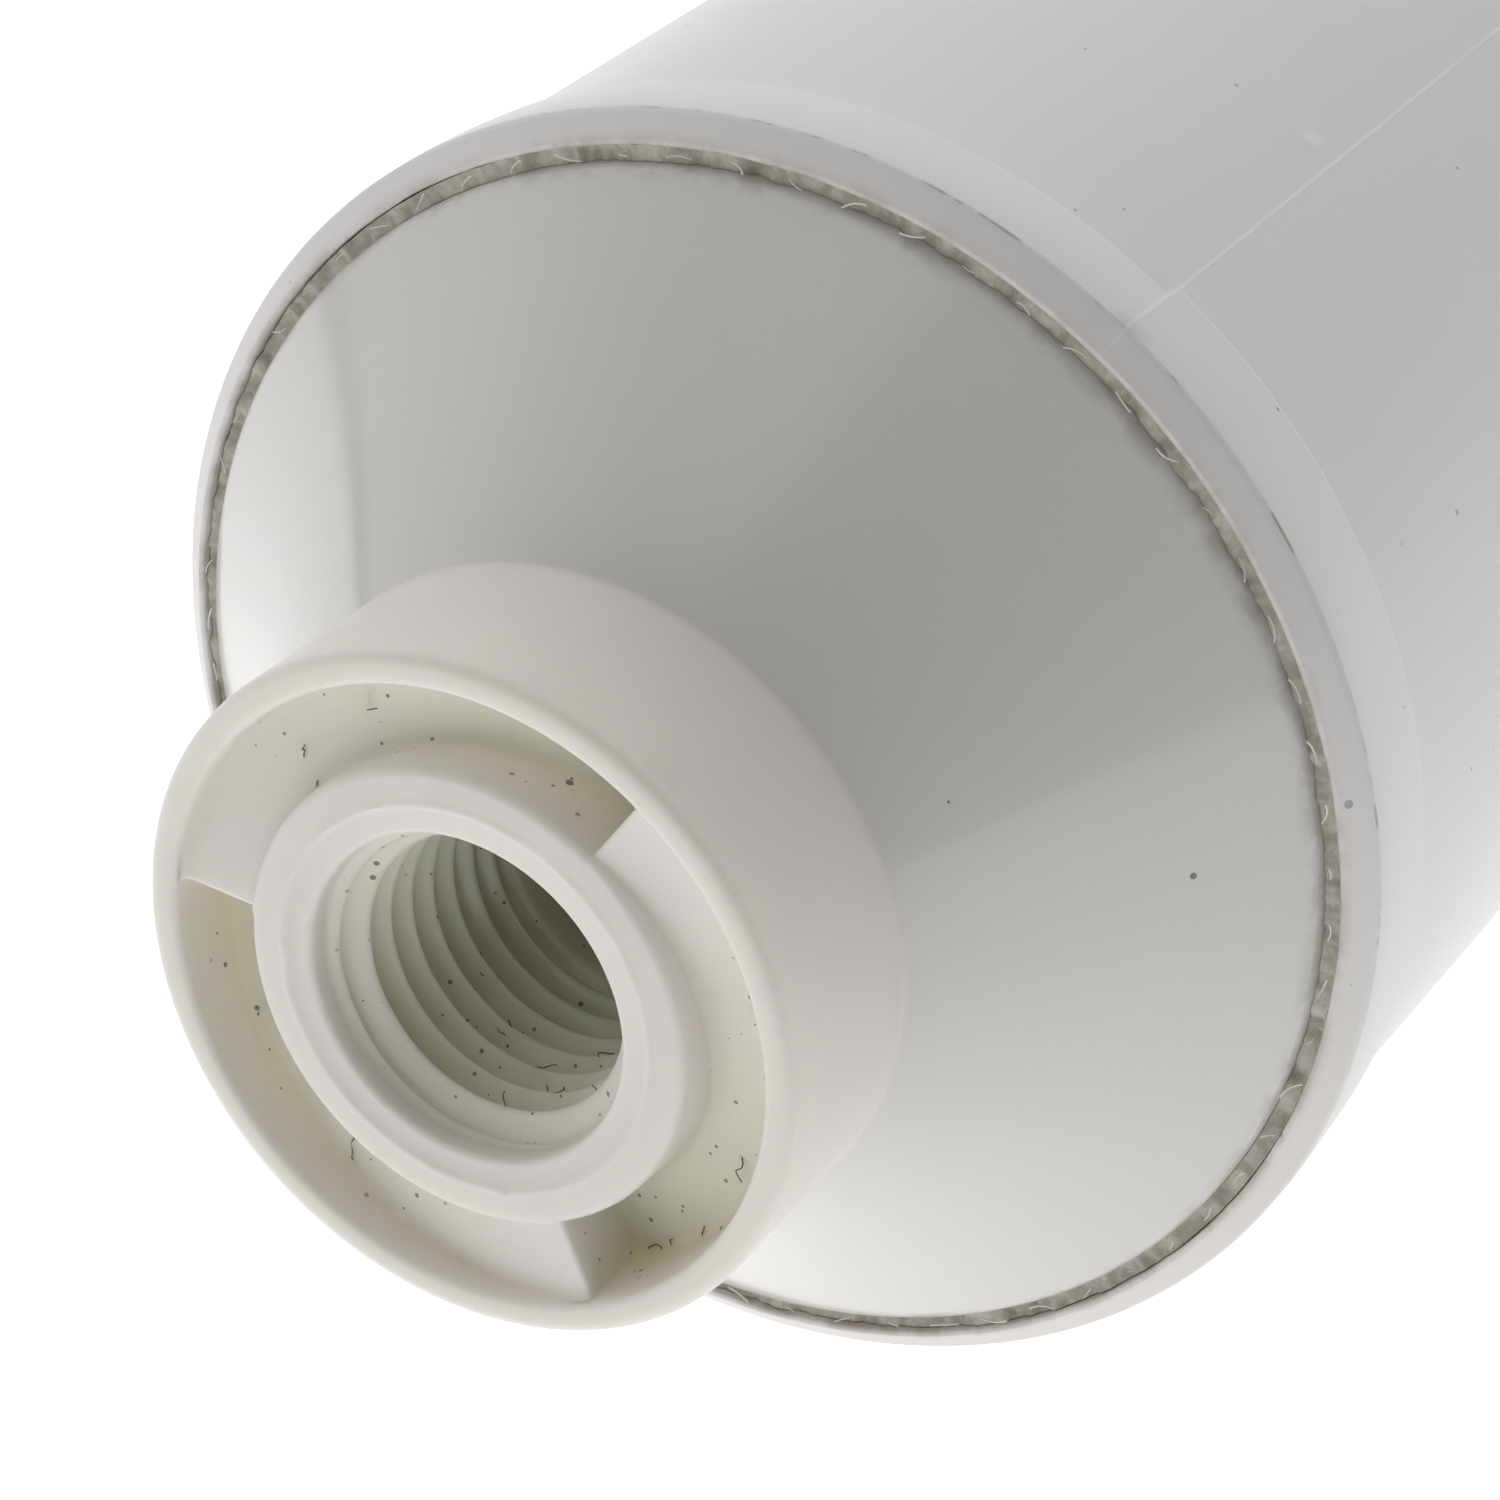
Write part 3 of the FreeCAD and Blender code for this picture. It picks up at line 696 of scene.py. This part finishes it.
def ramp_floor(angle):
    """Height of the ramp floor. It climbs anticlockwise and drops sheer at each step."""
    span = math.tau / RAMPS
    after = (angle - FIRST_STEP) % span
    climb = RAMP_TOP - RAMP_FALL + RAMP_FALL * after / span
    past = after * RAMP_MIDDLE
    before = (span - after) * RAMP_MIDDLE
    if before < STEP_ROUND:
        return climb - STEP_ROUND + math.sqrt(STEP_ROUND ** 2 - (STEP_ROUND - before) ** 2)
    top = RAMP_TOP - STEP_ROUND
    foot = climb + STEP_FOOT
    if past < STEP_DRAFT:
        return top + (foot - top) * past / STEP_DRAFT
    if past < STEP_DRAFT + STEP_FOOT:
        left = STEP_FOOT - (past - STEP_DRAFT)
        return climb + STEP_FOOT - math.sqrt(STEP_FOOT ** 2 - left ** 2)
    return climb


def cap_angles():
    """Even columns, with close ones where a ramp steps down."""
    angles = {round(math.tau * step / COLUMNS, 9) for step in range(COLUMNS)}
    for step in range(RAMPS):
        line = FIRST_STEP + math.tau * step / RAMPS
        for off in STEP_COLUMNS:
            angles.add(round((line + off / RAMP_MIDDLE) % math.tau, 9))
    return sorted(angles)


def bump_at(angle, degrees, width):
    """1 at one place round the cap, fading over width degrees."""
    off = (math.degrees(angle) - degrees + 180.0) % 360.0 - 180.0
    return math.exp(-((off / width) ** 2))


def thread_wall(angle, height):
    """Radius of the bore: a taper thread below a lead-in cone, then a plain hole."""
    crest = CREST_START + PITCH * (angle - CREST_ANGLE) / math.tau
    phase = abs((height - crest) / PITCH - round((height - crest) / PITCH))
    root = ROOT_AT_FACE - (PORT - height) * TAPER
    groove = root - (0.5 - phase) * PITCH * math.sqrt(3)
    groove = root - math.sqrt((root - groove) ** 2 + ROOT_SOFTNESS ** 2) + ROOT_SOFTNESS * 0.6
    fade = min(max((height - THREAD_END) / PITCH, 0.0), 1.0)
    plain = CREST if height > THREAD_END - PITCH else HOLE
    lead = LEAD_IN - max(0.0, LEAD_IN_TOP - height) * LEAD_IN_SLOPE
    wall = max(plain, lead)
    cut = HOLE + (groove - HOLE) * fade
    return (wall + cut + math.sqrt((cut - wall) ** 2 + CREST_SOFTNESS ** 2)) / 2


def thread_grid(angles):
    """The thread's own grid. Its rows follow the helix, so they stop at both ends on the first
    and last row, and meet themselves one pitch on after a full turn."""
    bottom = THREAD_END - PITCH
    rows = int((THREAD_TOP - bottom) / PITCH + 2) * THREAD_ROWS + 1
    points, faces = [], []
    columns = list(angles) + [math.tau + angles[0]]
    for angle in columns:
        start = bottom - PITCH + PITCH * (angle / math.tau)
        for row in range(rows):
            height = min(max(start + PITCH * row / THREAD_ROWS, bottom), THREAD_TOP)
            radius = thread_wall(angle, height)
            points.append((radius * math.cos(angle) * MM, height * MM, radius * math.sin(angle) * MM))
    for column in range(len(columns) - 1):
        for row in range(rows - 1):
            low = column * rows + row
            faces.append((low, low + 1, low + rows + 1, low + rows))
    return points, faces


def dished(start, end, radius, steps):
    """Points of a hollow arc between two places on the cone, ends included."""
    middle = (start + end) / 2
    half = (end - start) / 2
    outward = Vector((-half.y, half.x)).normalized()
    if outward.x < 0:
        outward = -outward
    sag = math.sqrt(radius ** 2 - half.length ** 2)
    centre = middle + outward * sag
    first, last = start - centre, end - centre
    turn = -first.angle_signed(last)
    places = []
    for step in range(steps + 1):
        spoke = first.copy()
        spoke.rotate(Matrix.Rotation(turn * step / steps, 2))
        places.append(centre + spoke)
    return places


def cap_section(angle):
    """The cap's section from the top of the thread, over the boss, ramp, skirt and cone, and
    back along the underside to the foot of the thread."""
    floor = ramp_floor(angle)
    ridge = RIDGE_HEIGHT * (0.75 + wobble(angle, 2.0, 5.0, 0.5))
    ridge_at = RIDGE_RADIUS + wobble(angle, 9.0, 6.0, 0.05)
    # two small nicks in the ring, as the mould left them
    ridge_at += 0.20 * bump_at(angle, -78.0, 1.6) - 0.12 * bump_at(angle, 183.0, 2.5)
    face = BOSS_FACE
    boss_edge = min(BOSS_EDGE, (face - floor) * 0.45)
    outer = rounded(
        [
            (thread_wall(angle, THREAD_TOP), THREAD_TOP, 0),
            (MOUTH - 0.02, face - 0.05, 0.28),
            (ridge_at - 0.30, face - 0.06, 0),
            (ridge_at - 0.12, face + ridge * 0.5, 0),
            (ridge_at, face + ridge, 0),
            (ridge_at + 0.12, face + ridge * 0.45, 0),
            (ridge_at + 0.34, face, 0),
            (BOSS, face, boss_edge),
            (BOSS + BOSS_DRAFT * (face - floor) / RAMP_FALL, floor, boss_edge),
            (RAMP_MIDDLE, floor, 0),
            (SKIRT_BORE - 0.06, floor, 0.42),
            (SKIRT_BORE, PORT, 0.3),
            (SKIRT, PORT, 0.5),
            (SKIRT - 0.015, PORT - WITNESS_PLACE + WITNESS_HALF, 0),
            (SKIRT - 0.05, PORT - WITNESS_PLACE, 0),
            (SKIRT - 0.02, PORT - WITNESS_PLACE - WITNESS_HALF, 0),
            (SKIRT - 0.10, PORT - 3.4, 0),
            (ROOT_RADIUS + ROOT_FLARE, ROOT_HEIGHT + ROOT_RISE, 0),
        ],
        closed=False,
    )
    cone = dished(Vector((ROOT_RADIUS, ROOT_HEIGHT)), Vector((CAP_EDGE, CAP_FOOT)), DISH, DISH_STEPS)
    along = (cone[1] - cone[0]).normalized()
    root = rounded(
        [
            (ROOT_RADIUS + ROOT_FLARE, ROOT_HEIGHT + ROOT_RISE, 0),
            (ROOT_RADIUS, ROOT_HEIGHT, 0.55),
            (*(cone[0] + along * 1.0), 0),
        ],
        closed=False,
    )[1:-1]
    edge = [(CAP_EDGE, CAP_FOOT, 0.7), (CAP_EDGE - 0.02, SPIGOT_END, 0.3)]
    under = [
        (cone[-2].x, cone[-2].y, 0),
        *edge,
        (TUBE_BORE, SPIGOT_END, 0.3),
        (TUBE_BORE, CAP_FOOT - CAP_WALL, 0.6),
        (ROOT_RADIUS - CAP_WALL, ROOT_HEIGHT - CAP_WALL / 2, 0.6),
        (ROOT_RADIUS - CAP_WALL, RAMP_TOP - RAMP_FALL - RAMP_WALL, 0.5),
        (BOSS, RAMP_TOP - RAMP_FALL - RAMP_WALL, 0.5),
        (BOSS, BOSS_INNER_END, 0.3),
        (SEAL_BORE, BOSS_INNER_END, 0.4),
        (SEAL_BORE, SEAL_BORE_FLOOR, 0.2),
        (HOLE, SEAL_BORE_FLOOR, 0.2),
        (HOLE, HOLE_TOP, 0),
        (thread_wall(angle, THREAD_END - PITCH), THREAD_END - PITCH, 0),
    ]
    middle = [tuple(place) for place in cone[1:-2]]
    return outer + root + middle + rounded(under, closed=False)


def end_measures(tree, place):
    """Radius and height above the shell's end face, in millimetres, on either cap."""
    radius, along = axis_measures(tree, place)
    return radius, sums(tree, "SUBTRACT", along, END)


def cap_plastic():
    """Cool white polypropylene: glossy on the cone, duller on the port, and faintly
    yellow-green where light comes through the walls of the recesses and the bore."""
    material, tree, shader = new_material("cap_plastic")
    place = object_place(tree)
    radius, height = end_measures(tree, place)
    clouds = speckle(tree, place, 80.0, 5.0)
    base = mix(tree, clouds, (0.715, 0.705, 0.683, 1), (0.745, 0.735, 0.713, 1))
    # warmer port
    port = ramp(tree, height, ROOT_HEIGHT - 0.3, ROOT_HEIGHT + 0.1)
    base = mix(tree, port, base, (0.810, 0.778, 0.742, 1))
    # painted light: yellow-green tint in the recesses, for light coming through their thin walls
    sunk = ramp(tree, height, BOSS_FACE - 0.4, BOSS_FACE - 3.6)
    recess = sums(tree, "MULTIPLY", ramp(tree, radius, SKIRT_BORE + 0.2, SKIRT_BORE - 0.2), sunk)
    tinted = mix(tree, sums(tree, "MULTIPLY", recess, 0.8), base, (0.85, 0.84, 0.68, 1))
    # painted light: a lighter yellow-green tint deep in the bore, for light coming through the boss wall
    bore = ramp(tree, radius, MOUTH + 0.3, MOUTH - 0.1)
    deep = sums(tree, "MULTIPLY", bore, ramp(tree, height, BOSS_FACE - 1.5, BOSS_FACE - 6.0))
    tinted = mix(tree, sums(tree, "MULTIPLY", deep, 0.7), tinted, (0.83, 0.83, 0.72, 1))
    # painted shade of the weld gap on the cap's welded edge, laid on in patches
    smear = ramp(tree, speckle(tree, place, 500.0, 5.0, 0.65), 0.42, 0.62)
    edge = ramp(tree, radius, CAP_EDGE - 0.55, CAP_EDGE - 0.05)
    edge = sums(tree, "MULTIPLY", sums(tree, "MULTIPLY", edge, smear), 0.35)
    tinted = mix(tree, edge, tinted, (0.36, 0.34, 0.29, 1))
    # dust: thick in the recesses, rare elsewhere
    inside = strongest(tree, recess, deep)
    fine = sums(tree, "MULTIPLY", dust(tree, place, 1500.0, 0.17, 0.9), ramp(tree, inside, 0.05, 0.3))
    coarse = sums(tree, "MULTIPLY", dust(tree, place, 700.0, 0.11, 0.5), ramp(tree, inside, 0.05, 0.3))
    rare = sums(tree, "MULTIPLY", dust(tree, place, 420.0, 0.07, 0.10), 0.8)
    fine = sums(tree, "MULTIPLY", fine, 0.75)
    coarse = sums(tree, "MULTIPLY", coarse, 0.8)
    specks = strongest(tree, fine, coarse, rare)
    tree.links.new(mix(tree, specks, tinted, (0.10, 0.09, 0.07, 1)), shader.inputs["Base Color"])
    gloss = ramp(tree, port, 0.0, 1.0, 0.12, 0.40)
    uneven = ramp(tree, clouds, 0.3, 0.7, -0.01, 0.03)
    tree.links.new(sums(tree, "ADD", gloss, uneven), shader.inputs["Roughness"])
    shallow = speckle(tree, place, 45.0, 2.0)
    grain = speckle(tree, place, 1600.0, 3.0)
    relief = bump(tree, shallow, 0.06, 0.4 * MM)
    relief = bump(tree, grain, 0.04, 0.03 * MM, relief)
    tree.links.new(relief, shader.inputs["Normal"])
    shader.inputs["IOR"].default_value = 1.49
    shader.inputs["Subsurface Weight"].default_value = 0.5
    shader.inputs["Subsurface Radius"].default_value = (1.0, 0.95, 0.7)
    shader.inputs["Subsurface Scale"].default_value = 1.6 * MM
    return material


def lint_fibre():
    """Dark household lint."""
    material, tree, shader = new_material("lint")
    tone = mix(tree, speckle(tree, object_place(tree), 900.0), (0.05, 0.045, 0.04, 1), (0.22, 0.20, 0.16, 1))
    tree.links.new(tone, shader.inputs["Base Color"])
    shader.inputs["Roughness"].default_value = 0.8
    return material


def strew(tree, places, thing, lean, scales, seed):
    """A copy of the thing on every point, each with its own lean, up to so many radians about
    each axis, and its own size."""
    least = tuple(-angle for angle in lean)
    leans = {0: least, 1: lean, "Seed": seed}
    leans = put(tree, "FunctionNodeRandomValue", leans, data_type="FLOAT_VECTOR")
    sizes = {2: scales[0], 3: scales[1], "Seed": seed}
    sizes = put(tree, "FunctionNodeRandomValue", sizes, data_type="FLOAT")
    turned_by = put(
        tree,
        "FunctionNodeRotateRotation",
        {"Rotation": places.outputs["Rotation"], "Rotate By": leans.outputs[0]},
        rotation_space="LOCAL",
    )
    return put(
        tree,
        "GeometryNodeInstanceOnPoints",
        {
            "Points": places.outputs["Points"],
            "Instance": thing,
            "Rotation": turned_by.outputs["Rotation"],
            "Scale": sizes.outputs[1],
        },
    )


def lint_tree(fibre):
    """Hairs sown on the surfaces they lie on, each one bent its own way."""
    tree = fresh_tree("lint")
    tree.interface.new_socket("Surface", in_out="INPUT", socket_type="NodeSocketGeometry")
    tree_input(tree, "Hairs in a square metre", "Float", LINT_DENSITY)
    tree_input(tree, "Length", "Float", LINT_LENGTH * MM)
    tree_input(tree, "Thickness", "Float", LINT_THICKNESS * MM)
    tree_input(tree, "Curl", "Float", LINT_CURL * MM)
    tree_input(tree, "Seed", "Int", 5)
    sizes = put(tree, "NodeGroupInput").outputs
    sown = put(
        tree,
        "GeometryNodeDistributePointsOnFaces",
        {"Mesh": sizes["Surface"], "Density": sizes["Hairs in a square metre"], "Seed": sizes["Seed"]},
    )
    reach = put(tree, "ShaderNodeCombineXYZ", {"X": sizes["Length"]})
    straight = put(tree, "GeometryNodeCurvePrimitiveLine", {"End": reach.outputs[0]})
    hairs = strew(tree, sown, straight.outputs["Curve"], (0.0, 0.0, 3.1), (0.15, 1.2), sizes["Seed"])
    real = put(tree, "GeometryNodeRealizeInstances", {"Geometry": hairs.outputs["Instances"]})
    fine = put(tree, "GeometryNodeResampleCurve", {"Curve": real.outputs["Geometry"], "Count": 14})
    twist = put(tree, "ShaderNodeTexNoise", {"Scale": 1500.0, "Detail": 1.0})
    centred = put(
        tree, "ShaderNodeVectorMath", {0: twist.outputs["Color"], 1: (0.5, 0.5, 0.5)}, operation="SUBTRACT"
    )
    offset = put(
        tree, "ShaderNodeVectorMath", {0: centred.outputs[0], "Scale": sizes["Curl"]}, operation="SCALE"
    )
    bent = put(
        tree, "GeometryNodeSetPosition", {"Geometry": fine.outputs["Curve"], "Offset": offset.outputs[0]}
    )
    section = round_section(tree, 4, sizes["Thickness"])
    end_tree(tree, sweep(tree, bent.outputs["Geometry"], section), fibre)
    return tree


def resting_places(points, faces):
    """The part of the cap's surface where lint collects: the ramp floors and the lower wall of
    the bore."""
    kept = []
    for face in faces:
        middle = sum((Vector(points[i]) for i in face), Vector()) / len(face) / MM
        radius, height = math.hypot(middle.x, middle.z), middle.y
        in_ramps = BOSS + 0.1 < radius < SKIRT_BORE - 0.1
        on_floor = RAMP_TOP - RAMP_FALL - 1 < height < RAMP_TOP - 0.8
        in_bore = HOLE - 0.1 < radius < MOUTH and THREAD_END + 4 < height < THREAD_TOP
        if (in_ramps and on_floor) or (in_bore and middle.z < -3.0):
            kept.append(face)
    return kept


fibre = lint_fibre()
hairs = lint_tree(fibre)
cap_material = cap_plastic()
cap_columns = cap_angles()
section_points, section_faces = turned(cap_columns, cap_section, closed_section=False)
thread_points, thread_faces = thread_grid(cap_columns)
cap_faces = section_faces + [tuple(i + len(section_points) for i in face) for face in thread_faces]
BOTH_ENDS = (("inlet", Matrix.Rotation(0.0, 4, "X")), ("outlet", Matrix.Rotation(math.pi, 4, "X")))
for end, place in BOTH_ENDS:
    # heights run along +Y in the section, and outwards from the shell's end on the cap
    out = [place @ Vector((x, -(y + END * MM), z)) for x, y, z in section_points + thread_points]
    cap = make_piece(f"{end}_cap_moulding", out, cap_faces, cap_material, 55.0)
    bed = bpy.data.meshes.new("lint_bed")
    bed.from_pydata(out, [], resting_places(section_points + thread_points, cap_faces))
    lint = grow(f"{end}_lint", hairs, fibre, bed)
    join(cap, lint)
    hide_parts(f"{end}_end_cap")
    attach(cap, "root")

# ---------------------------------------------------------------------------------------------
# Weld beads. Where cap and shell melted together, the plastic is squeezed up into the gap and
# sets as a rough ring with loose curls, which holds dirt.

BEAD_TOP = -0.38
BEAD_COLUMNS = 900
CURLS = 64
CURL_LENGTH = 1.1
CURL_THICKNESS = 0.045
CURL_LIFT = 0.08
CURL_BEND = 0.45
CURL_SIDES, CURL_STEPS = 5, 6
GAP_STEPS = 256


def bead_section(angle):
    """Lumpy top between the two walls, plain below."""
    inner = CAP_EDGE + 0.01
    outer = SOCKET - 0.05
    lump = BEAD_TOP + wobble(angle, 1.0, 24.0, 0.25) + wobble(angle, 4.0, 70.0, 0.16)
    crest = lump - 0.05 + wobble(angle, 6.0, 110.0, 0.12)
    return rounded(
        [
            (inner, SPIGOT_END, 0),
            (inner, lump, 0),
            ((inner * 2 + outer) / 3, crest, 0),
            ((inner + outer * 2) / 3, crest - 0.03 + wobble(angle, 8.0, 60.0, 0.12), 0),
            (outer, lump + 0.03, 0),
            (outer, SPIGOT_END, 0),
        ]
    )


def weld_plastic():
    """Melted plastic: grey-brown where grime and painted shade of the gap fill its hollows, white on its
    worn curls.
    """
    material, tree, shader = new_material("weld_plastic")
    place = object_place(tree)
    height = end_measures(tree, place)[1]
    lumps = speckle(tree, place, 900.0, 5.0, 0.7)
    raised = ramp(tree, height, -0.25, 0.0)
    # grime and painted shade of the narrow gap: dark below the bead's crests, the plastic's own white on
    # raised bits and curls
    grime_and_gap_shade = mix(tree, ramp(tree, lumps, 0.35, 0.65), (0.42, 0.39, 0.32, 1), (0.66, 0.62, 0.55, 1))
    tree.links.new(mix(tree, raised, grime_and_gap_shade, (0.80, 0.78, 0.74, 1)), shader.inputs["Base Color"])
    shader.inputs["Roughness"].default_value = 0.6
    tree.links.new(bump(tree, lumps, 0.5, 0.1 * MM), shader.inputs["Normal"])
    return material


def curl_tree():
    """Curls of flash scattered round the gap: short bent slivers of random size and lean."""
    tree = fresh_tree("weld_curls")
    tree_input(tree, "Count", "Int", CURLS)
    tree_input(tree, "Gap radius", "Float", (CAP_EDGE + SOCKET) / 2 * MM)
    tree_input(tree, "Height", "Float", (END + CURL_LIFT) * MM)
    tree_input(tree, "Length", "Float", CURL_LENGTH * MM)
    tree_input(tree, "Thickness", "Float", CURL_THICKNESS * MM)
    tree_input(tree, "Seed", "Int", 11)
    sizes = put(tree, "NodeGroupInput").outputs
    ring = round_section(tree, GAP_STEPS, sizes["Gap radius"])
    placed = put(tree, "GeometryNodeCurveToPoints", {"Curve": ring, "Count": sizes["Count"]})
    half = sums(tree, "MULTIPLY", sizes["Length"], 0.5)
    back = sums(tree, "MULTIPLY", half, -1.0)
    lift = sums(tree, "MULTIPLY", half, CURL_BEND)
    bend = put(
        tree,
        "GeometryNodeCurveQuadraticBezier",
        {
            "Resolution": CURL_STEPS,
            "Start": put(tree, "ShaderNodeCombineXYZ", {"Z": back}).outputs[0],
            "Middle": put(tree, "ShaderNodeCombineXYZ", {"Y": lift}).outputs[0],
            "End": put(tree, "ShaderNodeCombineXYZ", {"Z": half}).outputs[0],
        },
    )
    section = round_section(tree, CURL_SIDES, sizes["Thickness"])
    sliver = sweep(tree, bend.outputs["Curve"], section)
    scattered = strew(tree, placed, sliver, (0.5, 0.5, 3.1), (0.35, 1.1), sizes["Seed"])
    real = put(tree, "GeometryNodeRealizeInstances", {"Geometry": scattered.outputs["Instances"]})
    lift_up = put(tree, "ShaderNodeCombineXYZ", {"Z": sizes["Height"]})
    raised = put(
        tree,
        "GeometryNodeTransform",
        {"Geometry": real.outputs["Geometry"], "Translation": lift_up.outputs[0]},
    )
    laid = put(
        tree,
        "GeometryNodeTransform",
        {"Geometry": raised.outputs["Geometry"], "Rotation": (math.pi / 2, 0, 0)},
    )
    smooth = put(tree, "GeometryNodeSetShadeSmooth", {"Geometry": laid.outputs["Geometry"]})
    end_tree(tree, smooth.outputs["Geometry"], weld_material)
    return tree


weld_material = weld_plastic()
curls_tree = curl_tree()
bead_angles = [math.tau * step / BEAD_COLUMNS for step in range(BEAD_COLUMNS)]
bead_points, bead_faces = turned(bead_angles, bead_section)
for end, place in BOTH_ENDS:
    ring_points = [place @ Vector((x, -(y + END * MM), z)) for x, y, z in bead_points]
    bead = make_piece(f"{end}_weld_ring", ring_points, bead_faces, weld_material, 60.0)
    curls = grow(f"{end}_weld_curls", curls_tree, weld_material)
    curls.data.transform(place)
    join(bead, curls)
    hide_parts(f"{end}_weld_bead")
    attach(bead, "root")

# ---------------------------------------------------------------------------------------------
# Studio. The cartridge lies on a pale paper floor in a bright cloth tent with one dim side, a
# soft box in front of it and one behind, and a dark seam low on the left.

FLOOR_HALF = 3.0
FLOOR_GLOW = 0.63
floor_mesh = bpy.data.meshes.new("floor")
floor_level = cad_box[0][2]
corners = [(-1, -1), (1, -1), (1, 1), (-1, 1)]
floor_points = [(x * FLOOR_HALF, y * FLOOR_HALF, floor_level) for x, y in corners]
floor_mesh.from_pydata(floor_points, [], [(0, 1, 2, 3)])
floor = bpy.data.objects.new("floor", floor_mesh)
bpy.context.scene.collection.objects.link(floor)
paper, _, paper_shader = new_material("floor_paper")
paper_shader.inputs["Base Color"].default_value = (0.9, 0.9, 0.9, 1)
paper_shader.inputs["Roughness"].default_value = 0.9
paper_shader.inputs["Specular IOR Level"].default_value = 0.1
paper_shader.inputs["Emission Color"].default_value = (1, 1, 1, 1)
paper_shader.inputs["Emission Strength"].default_value = FLOOR_GLOW
floor_mesh.materials.append(paper)

DIM_SIDE = Vector((0.58, -0.52, 0.62)).normalized()
DIM_START = -0.08
BRIGHT, DIM = 0.81, -0.12
OVERHEAD, FLANKS = 0.22, 0.15
BOX_EDGE, BOX_EDGE_HALF = 0.03, 0.015
BOX_LEFT, BOX_FULL = -0.55, -0.15
BOX_FRONT, BOX_FRONT_FULL = -0.35, -0.50
BOX_LOW, BOX_LOW_FULL = 0.45, 0.6
BOX_LIGHT = 0.55
SEAM_HEIGHT, SEAM_WIDTH = 0.03, 0.05
SEAM_START, SEAM_FULL = -0.6, -0.8
SEAM_DARK = 1.0
BACK_BOX = Vector((-0.1, 0.55, 0.83)).normalized()
BACK_LIGHT = 0.48


def curved(tree, source, size):
    """size times the square of source."""
    return sums(tree, "MULTIPLY", sums(tree, "MULTIPLY", source, source), size)


world = bpy.data.worlds.new("tent")
bpy.context.scene.world = world
world.use_nodes = True
sky = world.node_tree
direction = put(sky, "ShaderNodeTexCoord").outputs["Generated"]
facing = put(sky, "ShaderNodeVectorMath", {0: direction, 1: DIM_SIDE}, operation="DOT_PRODUCT")
level = put(
    sky,
    "ShaderNodeMapRange",
    {
        "Value": facing.outputs["Value"],
        "From Min": DIM_START,
        "From Max": 1.0,
        "To Min": BRIGHT,
        "To Max": DIM,
    },
)
sides = put(sky, "ShaderNodeSeparateXYZ", {"Vector": direction})
lit = sums(sky, "ADD", level.outputs["Result"], curved(sky, sides.outputs["Z"], OVERHEAD))
behind = put(sky, "ShaderNodeVectorMath", {0: direction, 1: BACK_BOX}, operation="DOT_PRODUCT")
behind = sums(sky, "MAXIMUM", behind.outputs["Value"], 0.0)
lit = sums(sky, "ADD", lit, curved(sky, behind, BACK_LIGHT))
lit = sums(sky, "SUBTRACT", lit, curved(sky, sides.outputs["X"], FLANKS))
# the soft box in front: its sharp right edge, its left side, how far round and how low it goes
box = BOX_LIGHT
for axis, out, full in (
    ("X", BOX_EDGE + BOX_EDGE_HALF, BOX_EDGE - BOX_EDGE_HALF),
    ("X", BOX_LEFT, BOX_FULL),
    ("Y", BOX_FRONT, BOX_FRONT_FULL),
    ("Z", BOX_LOW, BOX_LOW_FULL),
):
    box = sums(sky, "MULTIPLY", ramp(sky, sides.outputs[axis], out, full), box)
lit = sums(sky, "ADD", lit, box)
seam = near(sky, sides.outputs["Z"], SEAM_HEIGHT, SEAM_WIDTH)
seam = sums(sky, "MULTIPLY", seam, ramp(sky, sides.outputs["X"], SEAM_START, SEAM_FULL))
lit = sums(sky, "SUBTRACT", lit, sums(sky, "MULTIPLY", seam, SEAM_DARK))
background = sky.nodes["Background"]
sky.links.new(sums(sky, "MAXIMUM", lit, 0.0), background.inputs["Color"])

display = bpy.context.scene.view_settings
display.view_transform = "Standard"
display.look = "None"

CAMERA_TURN = math.radians(29.83)
CAMERA_RISE = math.radians(29.11)
CAMERA_AWAY = 0.20105
LENS = 119.78
SENSOR = 36.0
NEAREST_SEEN = 0.01
TARGET_DEPTH, TARGET_RISE = 21.6 * MM, 0.3 * MM
target = Vector((0.0, cap_low[1] + TARGET_DEPTH, TARGET_RISE))
back_along = Vector(
    (
        math.sin(CAMERA_TURN) * math.cos(CAMERA_RISE),
        -math.cos(CAMERA_TURN) * math.cos(CAMERA_RISE),
        math.sin(CAMERA_RISE),
    )
)
camera_data = bpy.data.cameras.new("camera")
camera_data.lens = LENS
camera_data.sensor_width = SENSOR
camera_data.clip_start = NEAREST_SEEN
camera = bpy.data.objects.new("camera", camera_data)
bpy.context.scene.collection.objects.link(camera)
camera.location = target + back_along * CAMERA_AWAY
camera.rotation_euler = (-back_along).to_track_quat("-Z", "Y").to_euler()
bpy.context.scene.camera = camera
